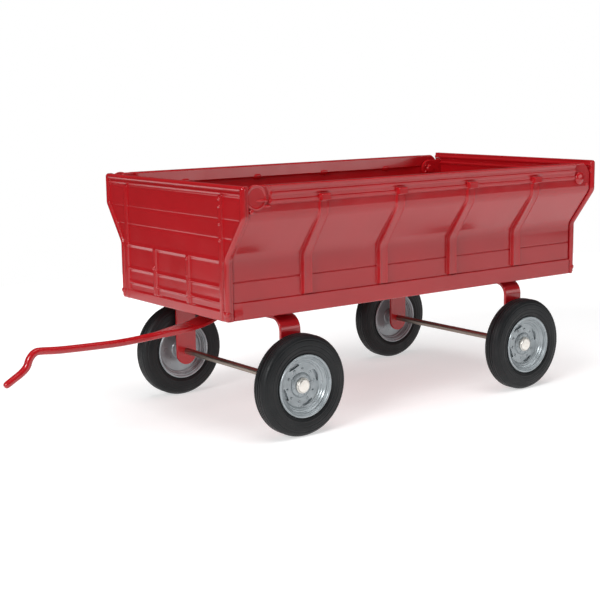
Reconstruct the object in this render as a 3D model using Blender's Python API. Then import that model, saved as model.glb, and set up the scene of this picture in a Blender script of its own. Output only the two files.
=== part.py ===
"""Die-cast toy flare-box farm wagon at 1:16 scale, as an assembly of separate pieces.

Frame: metres, +X forward (the way the tongue points), +Y the wagon's left, +Z up. The origin is on
the ground, under the middle of the whole wagon. Lengths called "back" are measured rearwards from
the front face of the box, and turned into X by x_at().

The box is four castings and a floor pan. Its walls share one flared outline: straight up, then
leaning out, then straight up again. Each axle is a plain rod through a bent strip bracket. The front
bracket turns on a kingpin and carries the tongue, and the rear one is riveted to the floor.
"""

import math

import bmesh
import bpy
from mathutils import Matrix, Vector

MM = 0.001
GAP = 0.3 * MM  # clearance between neighbouring pieces
RAMP = 0.3 * MM  # width over which raised detail reaches its height
DRILL_REACH = 12.0 * MM  # length of the cutters for the holes

# ---- Driving dimensions: the box ------------------------------------------------------------------
BOX_LENGTH = 211.0 * MM
TONGUE_REACH = 80.5 * MM  # tongue tip, ahead of the box's front face
BOX_BOTTOM = 52.3 * MM
LOWER_KINK = 78.0 * MM  # where the walls start to lean out
UPPER_KINK = 95.4 * MM  # where they turn upright again
BOX_TOP = 109.2 * MM
BOTTOM_HALF_WIDTH = 44.0 * MM
TOP_HALF_WIDTH = 56.7 * MM
RELIEF = 0.8 * MM  # how far the sill, the rail and the tops of the stakes stand proud of the wall
WALL = 1.6 * MM
LOWER_BEND = 3.5 * MM  # outer bend radii at the two kinks
UPPER_BEND = 3.4 * MM

# ---- Sides ----------------------------------------------------------------------------------------
SIDE_START = 3.7 * MM
SIDE_END = 208.6 * MM
STAKE_COUNT = 4
STAKE_PITCH = 42.6 * MM
STAKE_HALF = 2.6 * MM
STAKE_FOOT = 60.6 * MM
STAKE_PROUD = 1.6 * MM  # a stake's depth on the upright lower wall, from where it thins to RELIEF
SILL_TOP = 59.8 * MM
RAIL_START = 14.2 * MM
RAIL_END = 197.4 * MM
RAIL_BOTTOM = 101.4 * MM
CAP_TOP = 104.2 * MM
CAP_PROUD = 1.9 * MM
INNER_BAND = 0.7 * MM
INNER_BAND_BOTTOM = 103.2 * MM
FRONT_CORNER = 6.0 * MM
CORNER_FOOT = 98.4 * MM  # the side's sections follow its rounded top corners above this height
CORNER_ANGLES = (0, 25, 50, 72, 90)  # degrees round the front corner
REAR_SHARES = (1, 0.75, 0.5, 0.25, 0)  # shares of the rear corner's arc
LEDGE_THICKNESS = 1.0 * MM
LEDGE_INNER = 35.5 * MM

# ---- Front panel ----------------------------------------------------------------------------------
PANEL_FRONT = 0.9 * MM  # plate's front face, behind the bead
PANEL_BACK = 2.3 * MM
PANEL_RETURN = 3.4 * MM  # back edge of the turned border
BEAD_WIDTH = 2.2 * MM
BEAD_PROUD = 0.9 * MM
BATTEN_HALF = 1.2 * MM
BATTEN_PROUD = 0.6 * MM
BATTENS = (-14.5 * MM, 13.3 * MM)
STIFFENER_OFFSET = 39.6 * MM
FRAME_TOP = 77.6 * MM
FRAME_BOTTOM = 56.6 * MM
STIFFENER_TOP = 104.6 * MM

# ---- Floor ----------------------------------------------------------------------------------------
FLOOR_BOTTOM = BOX_BOTTOM + GAP
FLOOR_THICKNESS = 0.9 * MM  # at the edges, under the ledges
FLOOR_TOP = FLOOR_BOTTOM + FLOOR_THICKNESS
FLOOR_HALF_WIDTH = 41.1 * MM
LEDGE_BOTTOM = FLOOR_TOP + GAP
LEDGE_TOP = LEDGE_BOTTOM + LEDGE_THICKNESS

# ---- Tailgate -------------------------------------------------------------------------------------
GATE_FRONT = 208.9 * MM
GATE_THICKNESS = 1.5 * MM
GATE_TOP = 110.2 * MM
PIVOT_BACK = 200.5 * MM
PIVOT_Z = 101.8 * MM
EAR_RADIUS = 4.8 * MM
EAR_INNER = 52.2 * MM
EAR_OUTER = 53.9 * MM
PIN_RADIUS = 1.5 * MM
PIN_HEAD_RADIUS = 3.0 * MM
PIN_HEAD_HEIGHT = 1.4 * MM
PIN_TAIL_RADIUS = 2.25 * MM
PIN_TAIL_HEIGHT = 0.9 * MM

# ---- Running gear ---------------------------------------------------------------------------------
FRONT_AXLE_BACK = 32.8 * MM
REAR_AXLE_BACK = 168.7 * MM
TRACK_HALF = 49.5 * MM
TYRE_RADIUS = 22.2 * MM
ROD_RADIUS = 1.3 * MM
STRIP_WIDTH = 10.6 * MM
STRIP_THICKNESS = 1.5 * MM
STRIP_BEND = 5.0 * MM  # inner bend radius
FOOT_SHARES = (0.06, 0.3, 0.65, 1.0)  # where the round foot of an arm is sectioned, as shares of its width
ARM_OUTER = 43.6 * MM
ARM_BELOW_AXLE = 6.6 * MM
FRONT_STRIP_TOP = 51.2 * MM
REAR_STRIP_TOP = FLOOR_BOTTOM - GAP
KINGPIN_RADIUS = 1.8 * MM
KINGPIN_HEAD_RADIUS = 3.4 * MM
KINGPIN_HEAD_HEIGHT = 0.9 * MM
KINGPIN_TAIL_RADIUS = 2.9 * MM
KINGPIN_TAIL_HEIGHT = 1.2 * MM
SPACER_RADIUS = 6.0 * MM
RIVET_RADIUS = 1.2 * MM
RIVET_HEAD_RADIUS = 2.2 * MM
RIVET_HEAD_HEIGHT = 0.9 * MM
RIVET_TAIL_HEIGHT = 0.3 * MM
HEAD_EDGE = 0.35  # a rivet head's upright edge, then its shoulder, as shares of its height and radius
SHOULDER_HEIGHT = 0.85
SHOULDER_RADIUS = 0.6
TAIL_TAPER = 0.8
FLOOR_RIVET_Y = 38.3 * MM
FLOOR_RIVET_INSET = 9.0 * MM
REAR_RIVET_Y = 14.0 * MM
CAP_RADIUS = 3.4 * MM
CAP_DEPTH = 1.5 * MM
CAP_WALL = 0.7 * MM
CAP_OUTLINE = ((0.0, 1.0), (0.55, 0.93), (0.9, 0.65), (1.0, 0.3), (1.0, 0.0))  # shares of radius and depth
HUB_FACE = 1.5 * MM  # rim's hub face, outboard of the wheel's middle plane

# Rim outline as (radius, distance outboard of the middle plane), in millimetres: hub, disc, stepped
# dish and lip, then back along the tyre seat and the open inner side.
RIM_OUTLINE = (
    (5.2, 1.5),
    (5.6, 0.7),
    (9.8, 0.7),
    (10.9, 2.2),
    (12.0, 2.9),
    (12.9, 4.5),
    (13.7, 4.5),
    (13.7, 4.0),
    (12.2, 3.6),
    (12.2, -3.6),
    (13.7, -4.0),
    (13.7, -4.5),
    (12.9, -4.5),
    (11.2, -2.6),
    (10.6, -0.5),
    (2.9, -0.5),
    (2.9, -4.9),
)
SLOT_RADIUS = 8.9 * MM
SLOT_COUNT = 4
SLOT_START = 23.0  # degrees
SLOT_HALF = 2.2 * MM  # half length, and the cutter's half depth
SLOT_EDGE = 0.55 * MM  # half width

# Half of the tyre's outline, as (radius, distance from the middle plane), in millimetres.
TYRE_OUTLINE = (
    (12.5, 3.4),
    (14.0, 3.7),
    (15.2, 4.5),
    (17.5, 4.75),
    (20.3, 4.3),
    (21.9, 3.0),
    (22.2, 1.6),
)

# ---- Tongue ---------------------------------------------------------------------------------------
TONGUE_PLATE = 1.7 * MM
TONGUE_SIDES = 10

# The tongue's centre line and section: distance ahead of the box's front face, height, width and
# thickness, in millimetres. A flat plate under the bracket narrows into a round rod, and the rod
# ends in a small step and a sloping nose.
TONGUE_ROUTE = (
    (-38.4, 48.85, 7.0, 1.7),
    (-36.6, 48.85, 11.4, 1.7),
    (-33.0, 48.85, 12.5, 1.7),
    (-27.0, 48.85, 12.5, 1.7),
    (-22.5, 47.6, 12.5, 1.7),
    (-16.0, 45.2, 12.5, 1.7),
    (-9.0, 43.6, 12.3, 1.8),
    (-3.5, 42.8, 10.6, 2.1),
    (1.5, 42.2, 7.8, 2.5),
    (7.0, 41.7, 5.0, 2.9),
    (13.0, 41.2, 3.3, 3.2),
    (26.0, 40.6, 3.2, 3.2),
    (40.0, 40.8, 3.2, 3.2),
    (55.0, 41.3, 3.2, 3.2),
    (63.5, 42.0, 3.2, 3.2),
    (66.2, 41.5, 3.2, 3.2),
    (68.3, 39.4, 3.2, 3.2),
    (69.8, 36.2, 3.2, 3.2),
    (72.3, 33.9, 3.2, 3.2),
    (76.0, 31.7, 3.2, 3.2),
    (79.0, 29.9, 3.1, 3.1),
    (79.9, 29.35, 2.0, 2.0),
)

# ---- Facets ---------------------------------------------------------------------------------------
ROUND_STEPS = 28
SMALL_ROUND_STEPS = 14
SPACER_STEPS = 18
EAR_STEPS = 8
BEND_STEPS = 3
STRIP_BEND_STEPS = 6
SHARP_ANGLE = math.radians(35)  # edges sharper than this aren't shaded smooth

# ---- Colours (linear) and finish: red, green, blue, roughness, metallic ----------------------------
RED_ENAMEL = (0.43, 0.012, 0.016, 0.22, 0.0)
BLACK_RUBBER = (0.022, 0.026, 0.026, 0.6, 0.0)
GREY_RIM = (0.22, 0.26, 0.28, 0.35, 0.1)
BARE_STEEL = (0.32, 0.28, 0.25, 0.35, 1.0)
BRIGHT_STEEL = (0.82, 0.78, 0.72, 0.25, 1.0)


# ---- Small helpers --------------------------------------------------------------------------------
def x_at(back):
    """The X of a place a given distance behind the box's front face."""
    return (BOX_LENGTH - TONGUE_REACH) / 2 - back


def rise(value, edge):
    """0 below the edge and 1 above it, over the width of one ramp."""
    return min(1.0, max(0.0, (value - edge) / RAMP + 0.5))


def between(value, low, high):
    """1 between two edges and 0 outside them, with ramped sides."""
    return rise(value, low) - rise(value, high)


def ramp_lines(*edges):
    """The two grid lines that each edge needs, one at each foot of its ramp."""
    return [edge + side * RAMP / 2 for edge in edges for side in (-1, 1)]


def clear_scene():
    for old in list(bpy.data.objects):
        bpy.data.objects.remove(old, do_unlink=True)


def material(name, finish):
    """A plain Principled material for one sub-part."""
    red, green, blue, roughness, metallic = finish
    made = bpy.data.materials.new(name)
    made.use_nodes = True
    shader = made.node_tree.nodes["Principled BSDF"]
    shader.inputs["Base Color"].default_value = (red, green, blue, 1.0)
    shader.inputs["Roughness"].default_value = roughness
    shader.inputs["Metallic"].default_value = metallic
    return made


def object_from(name, mesh, finish):
    """A new object for a mesh, smooth except at sharp edges, with a material of its own."""
    mesh.materials.clear()
    mesh.materials.append(material(name, finish))
    mesh.shade_smooth()
    mesh.set_sharp_from_angle(angle=SHARP_ANGLE)
    made = bpy.data.objects.new(name, mesh)
    bpy.context.collection.objects.link(made)
    return made


def mesh_from(name, verts, faces):
    """A closed mesh with its faces turned outwards."""
    mesh = bpy.data.meshes.new(name)
    mesh.from_pydata(verts, [], faces)
    shape = bmesh.new()
    shape.from_mesh(mesh)
    bmesh.ops.recalc_face_normals(shape, faces=shape.faces)
    shape.to_mesh(mesh)
    shape.free()
    return mesh


def loft(name, sections, finish, halves=0):
    """A solid skinned over closed sections of equal length.

    halves is the number of points in each section's first half, where the section is a thin strip
    whose two halves face each other. Its ends are then closed with one quad for each pair of points.
    """
    count = len(sections[0])
    verts = [point for section in sections for point in section]
    faces = []
    for row in range(len(sections) - 1):
        low, high = row * count, (row + 1) * count
        for i in range(count):
            j = (i + 1) % count
            faces.append((low + i, low + j, high + j, high + i))
    for start in (0, (len(sections) - 1) * count):
        if halves:
            faces += [
                (start + i, start + i + 1, start + count - 2 - i, start + count - 1 - i)
                for i in range(halves - 1)
            ]
        else:
            faces.append(tuple(start + i for i in range(count)))
    return object_from(name, mesh_from(name, verts, faces), finish)


def turned(name, profile, finish, steps=ROUND_STEPS, turn=0.0):
    """A solid turned about the local Z axis from a closed profile of (radius, height) points.

    A point of no radius becomes a single vertex on the axis. turn shifts the facets, in steps.
    """
    verts, rings = [], []
    for radius, height in profile:
        if radius == 0:
            rings.append([len(verts)] * steps)
            verts.append((0.0, 0.0, height))
            continue
        rings.append([len(verts) + k for k in range(steps)])
        for k in range(steps):
            angle = math.tau * (k + turn) / steps
            verts.append((radius * math.cos(angle), radius * math.sin(angle), height))
    faces = []
    for i, ring in enumerate(rings):
        after = rings[(i + 1) % len(rings)]
        for k in range(steps):
            j = (k + 1) % steps
            corners = []
            for corner in (ring[k], ring[j], after[j], after[k]):
                if corner not in corners:
                    corners.append(corner)
            if len(corners) > 2:
                faces.append(tuple(corners))
    return object_from(name, mesh_from(name, verts, faces), finish)


def block(name, low, high, finish=BARE_STEEL):
    """A box between two corners."""
    verts = [(x, y, z) for x in (low[0], high[0]) for y in (low[1], high[1]) for z in (low[2], high[2])]
    faces = [(0, 1, 3, 2), (4, 6, 7, 5), (0, 4, 5, 1), (2, 3, 7, 6), (0, 2, 6, 4), (1, 5, 7, 3)]
    return object_from(name, mesh_from(name, verts, faces), finish)


def rod_shape(name, radius, length, finish=BARE_STEEL, steps=SMALL_ROUND_STEPS):
    """A cylinder centred on the origin, along local Z."""
    half = length / 2
    return turned(name, [(0, -half), (radius, -half), (radius, half), (0, half)], finish, steps)


def along(obj, axis, at):
    """Turn an object's local Z to an axis and put its origin at a point."""
    obj.rotation_euler = Vector((0, 0, 1)).rotation_difference(Vector(axis)).to_euler()
    obj.location = at
    return obj


def combine(target, tools, operation):
    """Join or cut an object with others, and remove the tools."""
    for tool in tools:
        step = target.modifiers.new("combine", "BOOLEAN")
        step.object = tool
        step.operation = operation
        step.solver = "EXACT"
    bpy.context.view_layer.update()
    graph = bpy.context.evaluated_depsgraph_get()
    result = bpy.data.meshes.new_from_object(target.evaluated_get(graph))
    target.modifiers.clear()
    first = target.data.materials[0]
    target.data = result
    result.name = target.name
    result.materials.clear()
    result.materials.append(first)
    result.polygons.foreach_set("material_index", [0] * len(result.polygons))
    result.set_sharp_from_angle(angle=SHARP_ANGLE)
    for tool in tools:
        bpy.data.objects.remove(tool, do_unlink=True)
    return target


def drill(target, radius, length, axis, centres):
    """Round holes through an object, all of one size and direction."""
    cutters = [along(rod_shape("cutter", radius, length), axis, centre) for centre in centres]
    return combine(target, cutters, "DIFFERENCE")


def joint_empty(name, at):
    """An empty on a joint's axis, for the moving pieces to hang from."""
    made = bpy.data.objects.new(name, None)
    made.empty_display_size = 10 * MM
    made.location = at
    bpy.context.collection.objects.link(made)
    return made


def hang(parent, *pieces):
    """Parent pieces to an empty without moving them."""
    bpy.context.view_layer.update()
    for piece in pieces:
        piece.parent = parent
        piece.matrix_parent_inverse = parent.matrix_world.inverted()


def put_origin(obj, at):
    """Move an unrotated object's origin to a point, leaving its surface where it is."""
    obj.data.transform(Matrix.Translation(-Vector(at)))
    obj.location = at


# ---- The flared outline ---------------------------------------------------------------------------
def flared_line(inset, top, bend_steps=BEND_STEPS):
    """Points (y, z) and outward normals up the left wall, a given depth inside its outer envelope."""
    lean = Vector((TOP_HALF_WIDTH - BOTTOM_HALF_WIDTH, UPPER_KINK - LOWER_KINK))
    half_angle = math.atan2(lean.x, lean.y) / 2
    shift = inset * math.tan(half_angle)
    low = Vector((BOTTOM_HALF_WIDTH - inset, LOWER_KINK + shift))
    high = Vector((TOP_HALF_WIDTH - inset, UPPER_KINK + shift))
    slope = lean.normalized()
    angle = 2 * half_angle
    out = Vector((math.cos(angle), -math.sin(angle)))
    line = [(Vector((low.x, BOX_BOTTOM)), Vector((1, 0)))]
    low_radius = LOWER_BEND + inset
    high_radius = UPPER_BEND - inset
    for corner, radius, hollow in ((low, low_radius, True), (high, high_radius, False)):
        reach = radius * math.tan(half_angle)
        start = corner - (Vector((0, reach)) if hollow else slope * reach)
        first = Vector((1, 0)) if hollow else out
        centre = start + first * (radius if hollow else -radius)
        for k in range(bend_steps + 1):
            turn = angle * k / bend_steps
            turn = turn if hollow else angle - turn
            normal = Vector((math.cos(turn), -math.sin(turn)))
            line.append((centre + normal * (-radius if hollow else radius), normal))
    line.append((Vector((high.x, top)), Vector((1, 0))))
    return line


def along_line(line, heights):
    """The outline's own points, with more added at given heights, in order up the wall."""
    picked = list(line)
    for height in heights:
        for (low, low_normal), (high, high_normal) in zip(line, line[1:]):
            if low.y < height < high.y:
                share = (height - low.y) / (high.y - low.y)
                normal = low_normal.lerp(high_normal, share).normalized()
                picked.append((low.lerp(high, share), normal))
    return sorted(picked, key=lambda spot: spot[0].y)


def half_width(height, inset=0.0):
    """The outline's distance from the middle of the box at a height."""
    line = flared_line(inset, GATE_TOP)
    for (low, _), (high, _) in zip(line, line[1:]):
        if low.y <= height <= high.y:
            share = (height - low.y) / (high.y - low.y)
            return low.lerp(high, share).x
    return line[-1][0].x if height > UPPER_KINK else line[0][0].x


# ---- Box castings ---------------------------------------------------------------------------------
def stake_places():
    """Distances behind the front face of the stakes' centre lines."""
    first = (BOX_LENGTH - (STAKE_COUNT - 1) * STAKE_PITCH) / 2
    return [first + k * STAKE_PITCH for k in range(STAKE_COUNT)]


def stake_depth(height):
    """A stake's depth: full on the upright lower wall, thinning over the leaning part."""
    up = min(1.0, max(0.0, (height - LOWER_KINK) / (UPPER_KINK - LOWER_KINK)))
    return STAKE_PROUD + (RELIEF - STAKE_PROUD) * up


def side_relief(back, height):
    """How far the side's outer detail stands proud of its wall."""
    sill = RELIEF * (1 - rise(height, SILL_TOP))
    rail = RELIEF * rise(height, RAIL_BOTTOM) * between(back, RAIL_START, RAIL_END)
    proud = max(sill, rail)
    for place in stake_places():
        width = between(back, place - STAKE_HALF, place + STAKE_HALF)
        stake = stake_depth(height) * between(height, STAKE_FOOT, RAIL_BOTTOM)
        cap = CAP_PROUD * between(height, RAIL_BOTTOM, CAP_TOP)
        proud = max(proud, width * stake, width * cap)
    return proud


def side_top(back):
    """The top edge's height: rounded at the front, and about the tailgate's pivot at the rear."""
    ahead = SIDE_START + FRONT_CORNER - back
    if ahead > 0:
        return BOX_TOP - FRONT_CORNER + math.sqrt(max(0.0, FRONT_CORNER**2 - ahead**2))
    radius = SIDE_END - PIVOT_BACK
    behind = back - PIVOT_BACK
    if behind > 0:
        return min(BOX_TOP, PIVOT_Z + math.sqrt(max(0.0, radius**2 - behind**2)))
    return BOX_TOP


def side_stations():
    """Distances behind the front face at which the side is sectioned."""
    corner = [SIDE_START + FRONT_CORNER * (1 - math.cos(math.radians(angle))) for angle in CORNER_ANGLES]
    radius = SIDE_END - PIVOT_BACK
    rear_start = math.degrees(math.asin((BOX_TOP - PIVOT_Z) / radius))
    rear = [PIVOT_BACK + radius * math.cos(math.radians(rear_start * share)) for share in REAR_SHARES]
    edges = [RAIL_START, RAIL_END]
    for place in stake_places():
        edges += [place - STAKE_HALF, place + STAKE_HALF]
    return sorted(corner + rear + ramp_lines(*edges))


def side_section(back, hand):
    """One closed cross-section of a side: up its outer face, then down its inner face."""
    squash = (side_top(back) - CORNER_FOOT) / (BOX_TOP - CORNER_FOOT)

    def place(point, normal, proud):
        y, z = point + normal * proud
        if z > CORNER_FOOT:
            z = CORNER_FOOT + (z - CORNER_FOOT) * squash
        return (x_at(back), hand * y, z)

    outer = along_line(
        flared_line(RELIEF, BOX_TOP), ramp_lines(SILL_TOP, STAKE_FOOT, RAIL_BOTTOM, CAP_TOP)
    )
    inner = along_line(
        flared_line(RELIEF + WALL, BOX_TOP), [LEDGE_BOTTOM, LEDGE_TOP] + ramp_lines(INNER_BAND_BOTTOM)
    )
    section = [place(point, normal, side_relief(back, point.y)) for point, normal in outer]
    for point, normal in reversed(inner):
        band = INNER_BAND * rise(point.y, INNER_BAND_BOTTOM)
        band *= between(back, RAIL_START, PIVOT_BACK - 2 * EAR_RADIUS)
        section.append(place(point, normal, -band))
        if point.y == LEDGE_TOP:
            section += [(x_at(back), hand * LEDGE_INNER, z) for z in (LEDGE_TOP, LEDGE_BOTTOM)]
    return section


def floor_rivet_places():
    return [FLOOR_RIVET_INSET, SIDE_END - FLOOR_RIVET_INSET]


def make_side(name, hand):
    """One side casting: flared wall with stakes, sill, top rail and a ledge for the floor."""
    side = loft(name, [side_section(back, hand) for back in side_stations()], RED_ENAMEL)
    pivot = (x_at(PIVOT_BACK), hand * TOP_HALF_WIDTH, PIVOT_Z)
    drill(side, PIN_RADIUS + GAP, DRILL_REACH, (0, 1, 0), [pivot])
    ledge = [(x_at(back), hand * FLOOR_RIVET_Y, LEDGE_TOP) for back in floor_rivet_places()]
    return drill(side, RIVET_RADIUS + GAP, DRILL_REACH / 2, (0, 0, 1), ledge)


def panel_section(column, top, relief, front, back):
    """One column of an end panel: up its outer face, then down its inner face.

    column is either a fixed y or a (side, inset) pair that follows the flared edge. relief, front
    and back give distances behind the box's front face, for a place (y, z, inset).
    """
    rows = panel_rows(top)

    def spot(height):
        edge = half_width(height)
        if isinstance(column, tuple):
            hand, inset = column
            return hand * (edge - inset), inset
        return column, edge - abs(column)

    outer, inner = [], []
    for height in rows:
        y, inset = spot(height)
        outer.append((x_at(front - relief(y, height, inset)), y, height))
        inner.append((x_at(back(y, height, inset)), y, height))
    return outer + inner[::-1]


def panel_rows(top):
    """Heights at which an end panel is sectioned."""
    bends = [point.y for point, _ in flared_line(0.0, top)]
    edges = ramp_lines(FRAME_BOTTOM, FRAME_TOP, STIFFENER_TOP)
    return sorted(set(bends + edges + [top - BEAD_WIDTH, top - BEAD_WIDTH - RAMP]))


def panel_columns():
    """Columns of an end panel: its turned border on both sides, and the battens between."""
    border = (0.0, BEAD_WIDTH, BEAD_WIDTH + RAMP)
    edges = []
    for centre in BATTENS + (-STIFFENER_OFFSET, STIFFENER_OFFSET):
        edges += [centre - BATTEN_HALF, centre + BATTEN_HALF]
    right = [(-1, inset) for inset in border]
    left = [(1, inset) for inset in reversed(border)]
    return right + sorted(ramp_lines(*edges)) + left


def panel_relief(top):
    """The raised border and battens that the two end panels share."""

    def relief(y, height, inset):
        bead = BEAD_PROUD if inset < BEAD_WIDTH + RAMP / 2 or height > top - BEAD_WIDTH - RAMP / 2 else 0.0
        sill = BATTEN_PROUD * (1 - rise(height, FRAME_BOTTOM))
        proud = max(bead, sill)
        for centre in BATTENS:
            batten = between(y, centre - BATTEN_HALF, centre + BATTEN_HALF)
            proud = max(proud, BATTEN_PROUD * batten * between(height, FRAME_BOTTOM, FRAME_TOP))
        stiffener = between(abs(y), STIFFENER_OFFSET - BATTEN_HALF, STIFFENER_OFFSET + BATTEN_HALF)
        return max(proud, BATTEN_PROUD * stiffener * (1 - rise(height, STIFFENER_TOP)))

    return relief


def make_front_panel():
    """The front casting: a plate with battens, and a border turned back round the sides."""

    def back(y, height, inset):
        return PANEL_RETURN if inset < BEAD_WIDTH / 2 else PANEL_BACK

    relief = panel_relief(BOX_TOP)
    sections = [panel_section(c, BOX_TOP, relief, PANEL_FRONT, back) for c in panel_columns()]
    return loft("front_panel", sections, RED_ENAMEL, halves=len(panel_rows(BOX_TOP)))


def make_tailgate():
    """The rear casting: a plate with two ears that reach forward inside the sides to its pivots."""

    def relief(y, height, inset):
        return -shared(y, height, inset)

    def inner_face(y, height, inset):
        return GATE_FRONT

    shared = panel_relief(GATE_TOP)
    outer = GATE_FRONT + GATE_THICKNESS
    sections = [panel_section(c, GATE_TOP, relief, outer, inner_face) for c in panel_columns()]
    gate = loft("tailgate", sections, RED_ENAMEL, halves=len(panel_rows(GATE_TOP)))
    ears = []
    for hand in (-1, 1):
        ears.append(make_ear("ear", hand))
    combine(gate, ears, "UNION")
    holes = [(x_at(PIVOT_BACK), hand * EAR_OUTER, PIVOT_Z) for hand in (-1, 1)]
    return drill(gate, PIN_RADIUS + GAP, DRILL_REACH, (0, 1, 0), holes)


def make_ear(name, hand):
    """A round-ended tab from the tailgate's inner face to its pivot."""
    outline = []
    for k in range(EAR_STEPS + 1):
        angle = math.pi * (0.5 - k / EAR_STEPS)
        outline.append((PIVOT_BACK - EAR_RADIUS * math.cos(angle), PIVOT_Z + EAR_RADIUS * math.sin(angle)))
    root = GATE_FRONT + GATE_THICKNESS / 2
    outline += [(root, PIVOT_Z - EAR_RADIUS), (root, PIVOT_Z + EAR_RADIUS)]
    sections = [[(x_at(back), hand * y, z) for back, z in outline] for y in (EAR_INNER, EAR_OUTER)]
    return loft(name, sections, RED_ENAMEL)


def make_floor():
    """The floor pan: thin edges under the sides' ledges, and a bed flush with the ledges between them.

    The heads of the kingpin and of the rear bracket's rivets are sunk below the bed.
    """
    bed_half = LEDGE_INNER - GAP
    half = [(FLOOR_HALF_WIDTH, FLOOR_BOTTOM), (FLOOR_HALF_WIDTH, FLOOR_TOP), (bed_half, FLOOR_TOP)]
    half.append((bed_half, LEDGE_TOP))
    outline = half + [(-y, z) for y, z in reversed(half)]
    ends = (x_at(PANEL_RETURN + GAP), x_at(SIDE_END))
    floor = loft("floor_pan", [[(x, y, z) for y, z in outline] for x in ends], RED_ENAMEL)
    edge_rivets = [
        (x_at(back), hand * FLOOR_RIVET_Y, FLOOR_BOTTOM) for back in floor_rivet_places() for hand in (-1, 1)
    ]
    drill(floor, RIVET_RADIUS + GAP, DRILL_REACH, (0, 0, 1), edge_rivets)
    cutters = [stepped_cutter(KINGPIN_RADIUS, KINGPIN_HEAD_RADIUS, (x_at(FRONT_AXLE_BACK), 0, FLOOR_TOP))]
    for hand in (-1, 1):
        at = (x_at(REAR_AXLE_BACK), hand * REAR_RIVET_Y, FLOOR_TOP)
        cutters.append(stepped_cutter(RIVET_RADIUS, RIVET_HEAD_RADIUS, at))
    return combine(floor, cutters, "DIFFERENCE")


def stepped_cutter(radius, head_radius, at):
    """A cutter for a shank's hole with a wider hole for its head above, stepped at a point."""
    reach = DRILL_REACH / 2
    shank, head = radius + GAP, head_radius + GAP
    profile = [(0, -reach), (shank, -reach), (shank, 0), (head, 0), (head, reach), (0, reach)]
    cutter = turned("cutter", profile, BARE_STEEL, SMALL_ROUND_STEPS)
    cutter.location = at
    return cutter


# ---- Fasteners ------------------------------------------------------------------------------------
def rivet(name, radius, head_radius, head_height, grip, tail_radius, tail_height, finish):
    """A rivet along local Z: domed head above z = 0, shank and peened tail below."""
    profile = [
        (0, head_height),
        (head_radius * SHOULDER_RADIUS, head_height * SHOULDER_HEIGHT),
        (head_radius, head_height * HEAD_EDGE),
        (head_radius, 0),
        (radius, 0),
        (radius, -grip),
        (tail_radius, -grip),
        (tail_radius * TAIL_TAPER, -grip - tail_height),
        (0, -grip - tail_height),
    ]
    return turned(name, profile, finish, SMALL_ROUND_STEPS)


def make_floor_rivets():
    """Rivets that hold the floor to the ledges, and the rear bracket to the floor."""
    made = []
    for end, back in zip(("front", "rear"), floor_rivet_places()):
        for hand, word in ((1, "left"), (-1, "right")):
            grip = LEDGE_TOP + GAP - FLOOR_BOTTOM
            pin = rivet(
                f"floor_rivet_{end}_{word}",
                RIVET_RADIUS,
                RIVET_HEAD_RADIUS,
                RIVET_HEAD_HEIGHT,
                grip,
                RIVET_RADIUS,
                RIVET_TAIL_HEIGHT,
                RED_ENAMEL,
            )
            made.append(along(pin, (0, 0, 1), (x_at(back), hand * FLOOR_RIVET_Y, LEDGE_TOP + GAP)))
    for hand, word in ((1, "left"), (-1, "right")):
        grip = FLOOR_TOP + GAP - (REAR_STRIP_TOP - STRIP_THICKNESS - GAP)
        pin = rivet(
            f"rear_bracket_rivet_{word}",
            RIVET_RADIUS,
            RIVET_HEAD_RADIUS,
            RIVET_HEAD_HEIGHT,
            grip,
            RIVET_HEAD_RADIUS,
            RIVET_HEAD_HEIGHT,
            RED_ENAMEL,
        )
        at = (x_at(REAR_AXLE_BACK), hand * REAR_RIVET_Y, FLOOR_TOP + GAP)
        made.append(along(pin, (0, 0, 1), at))
    return made


def make_kingpin():
    """The rivet the front bracket turns on, with its head on the floor of the box."""
    tongue_bottom = FRONT_STRIP_TOP - STRIP_THICKNESS - GAP - TONGUE_PLATE
    grip = FLOOR_TOP + GAP - (tongue_bottom - GAP)
    pin = rivet(
        "kingpin",
        KINGPIN_RADIUS,
        KINGPIN_HEAD_RADIUS,
        KINGPIN_HEAD_HEIGHT,
        grip,
        KINGPIN_TAIL_RADIUS,
        KINGPIN_TAIL_HEIGHT,
        BARE_STEEL,
    )
    return along(pin, (0, 0, 1), (x_at(FRONT_AXLE_BACK), 0, FLOOR_TOP + GAP))


def make_kingpin_spacer():
    """The thick washer between the floor and the front bracket."""
    low = FRONT_STRIP_TOP + GAP
    high = FLOOR_BOTTOM - GAP
    bore = KINGPIN_RADIUS + GAP
    profile = [(bore, low), (SPACER_RADIUS, low), (SPACER_RADIUS, high), (bore, high)]
    ring = turned("kingpin_spacer", profile, BARE_STEEL, SPACER_STEPS)
    ring.location = (x_at(FRONT_AXLE_BACK), 0, 0)
    return ring


def make_tailgate_pins():
    """The two pins the tailgate swings on, with their round heads outside the walls."""
    made = []
    wall_face = TOP_HALF_WIDTH - RELIEF + GAP
    for hand, word in ((1, "left"), (-1, "right")):
        grip = wall_face - (EAR_INNER - GAP)
        pin = rivet(
            f"tailgate_pin_{word}",
            PIN_RADIUS,
            PIN_HEAD_RADIUS,
            PIN_HEAD_HEIGHT,
            grip,
            PIN_TAIL_RADIUS,
            PIN_TAIL_HEIGHT,
            RED_ENAMEL,
        )
        at = (x_at(PIVOT_BACK), hand * wall_face, PIVOT_Z)
        made.append(along(pin, (0, hand, 0), at))
    return made


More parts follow.
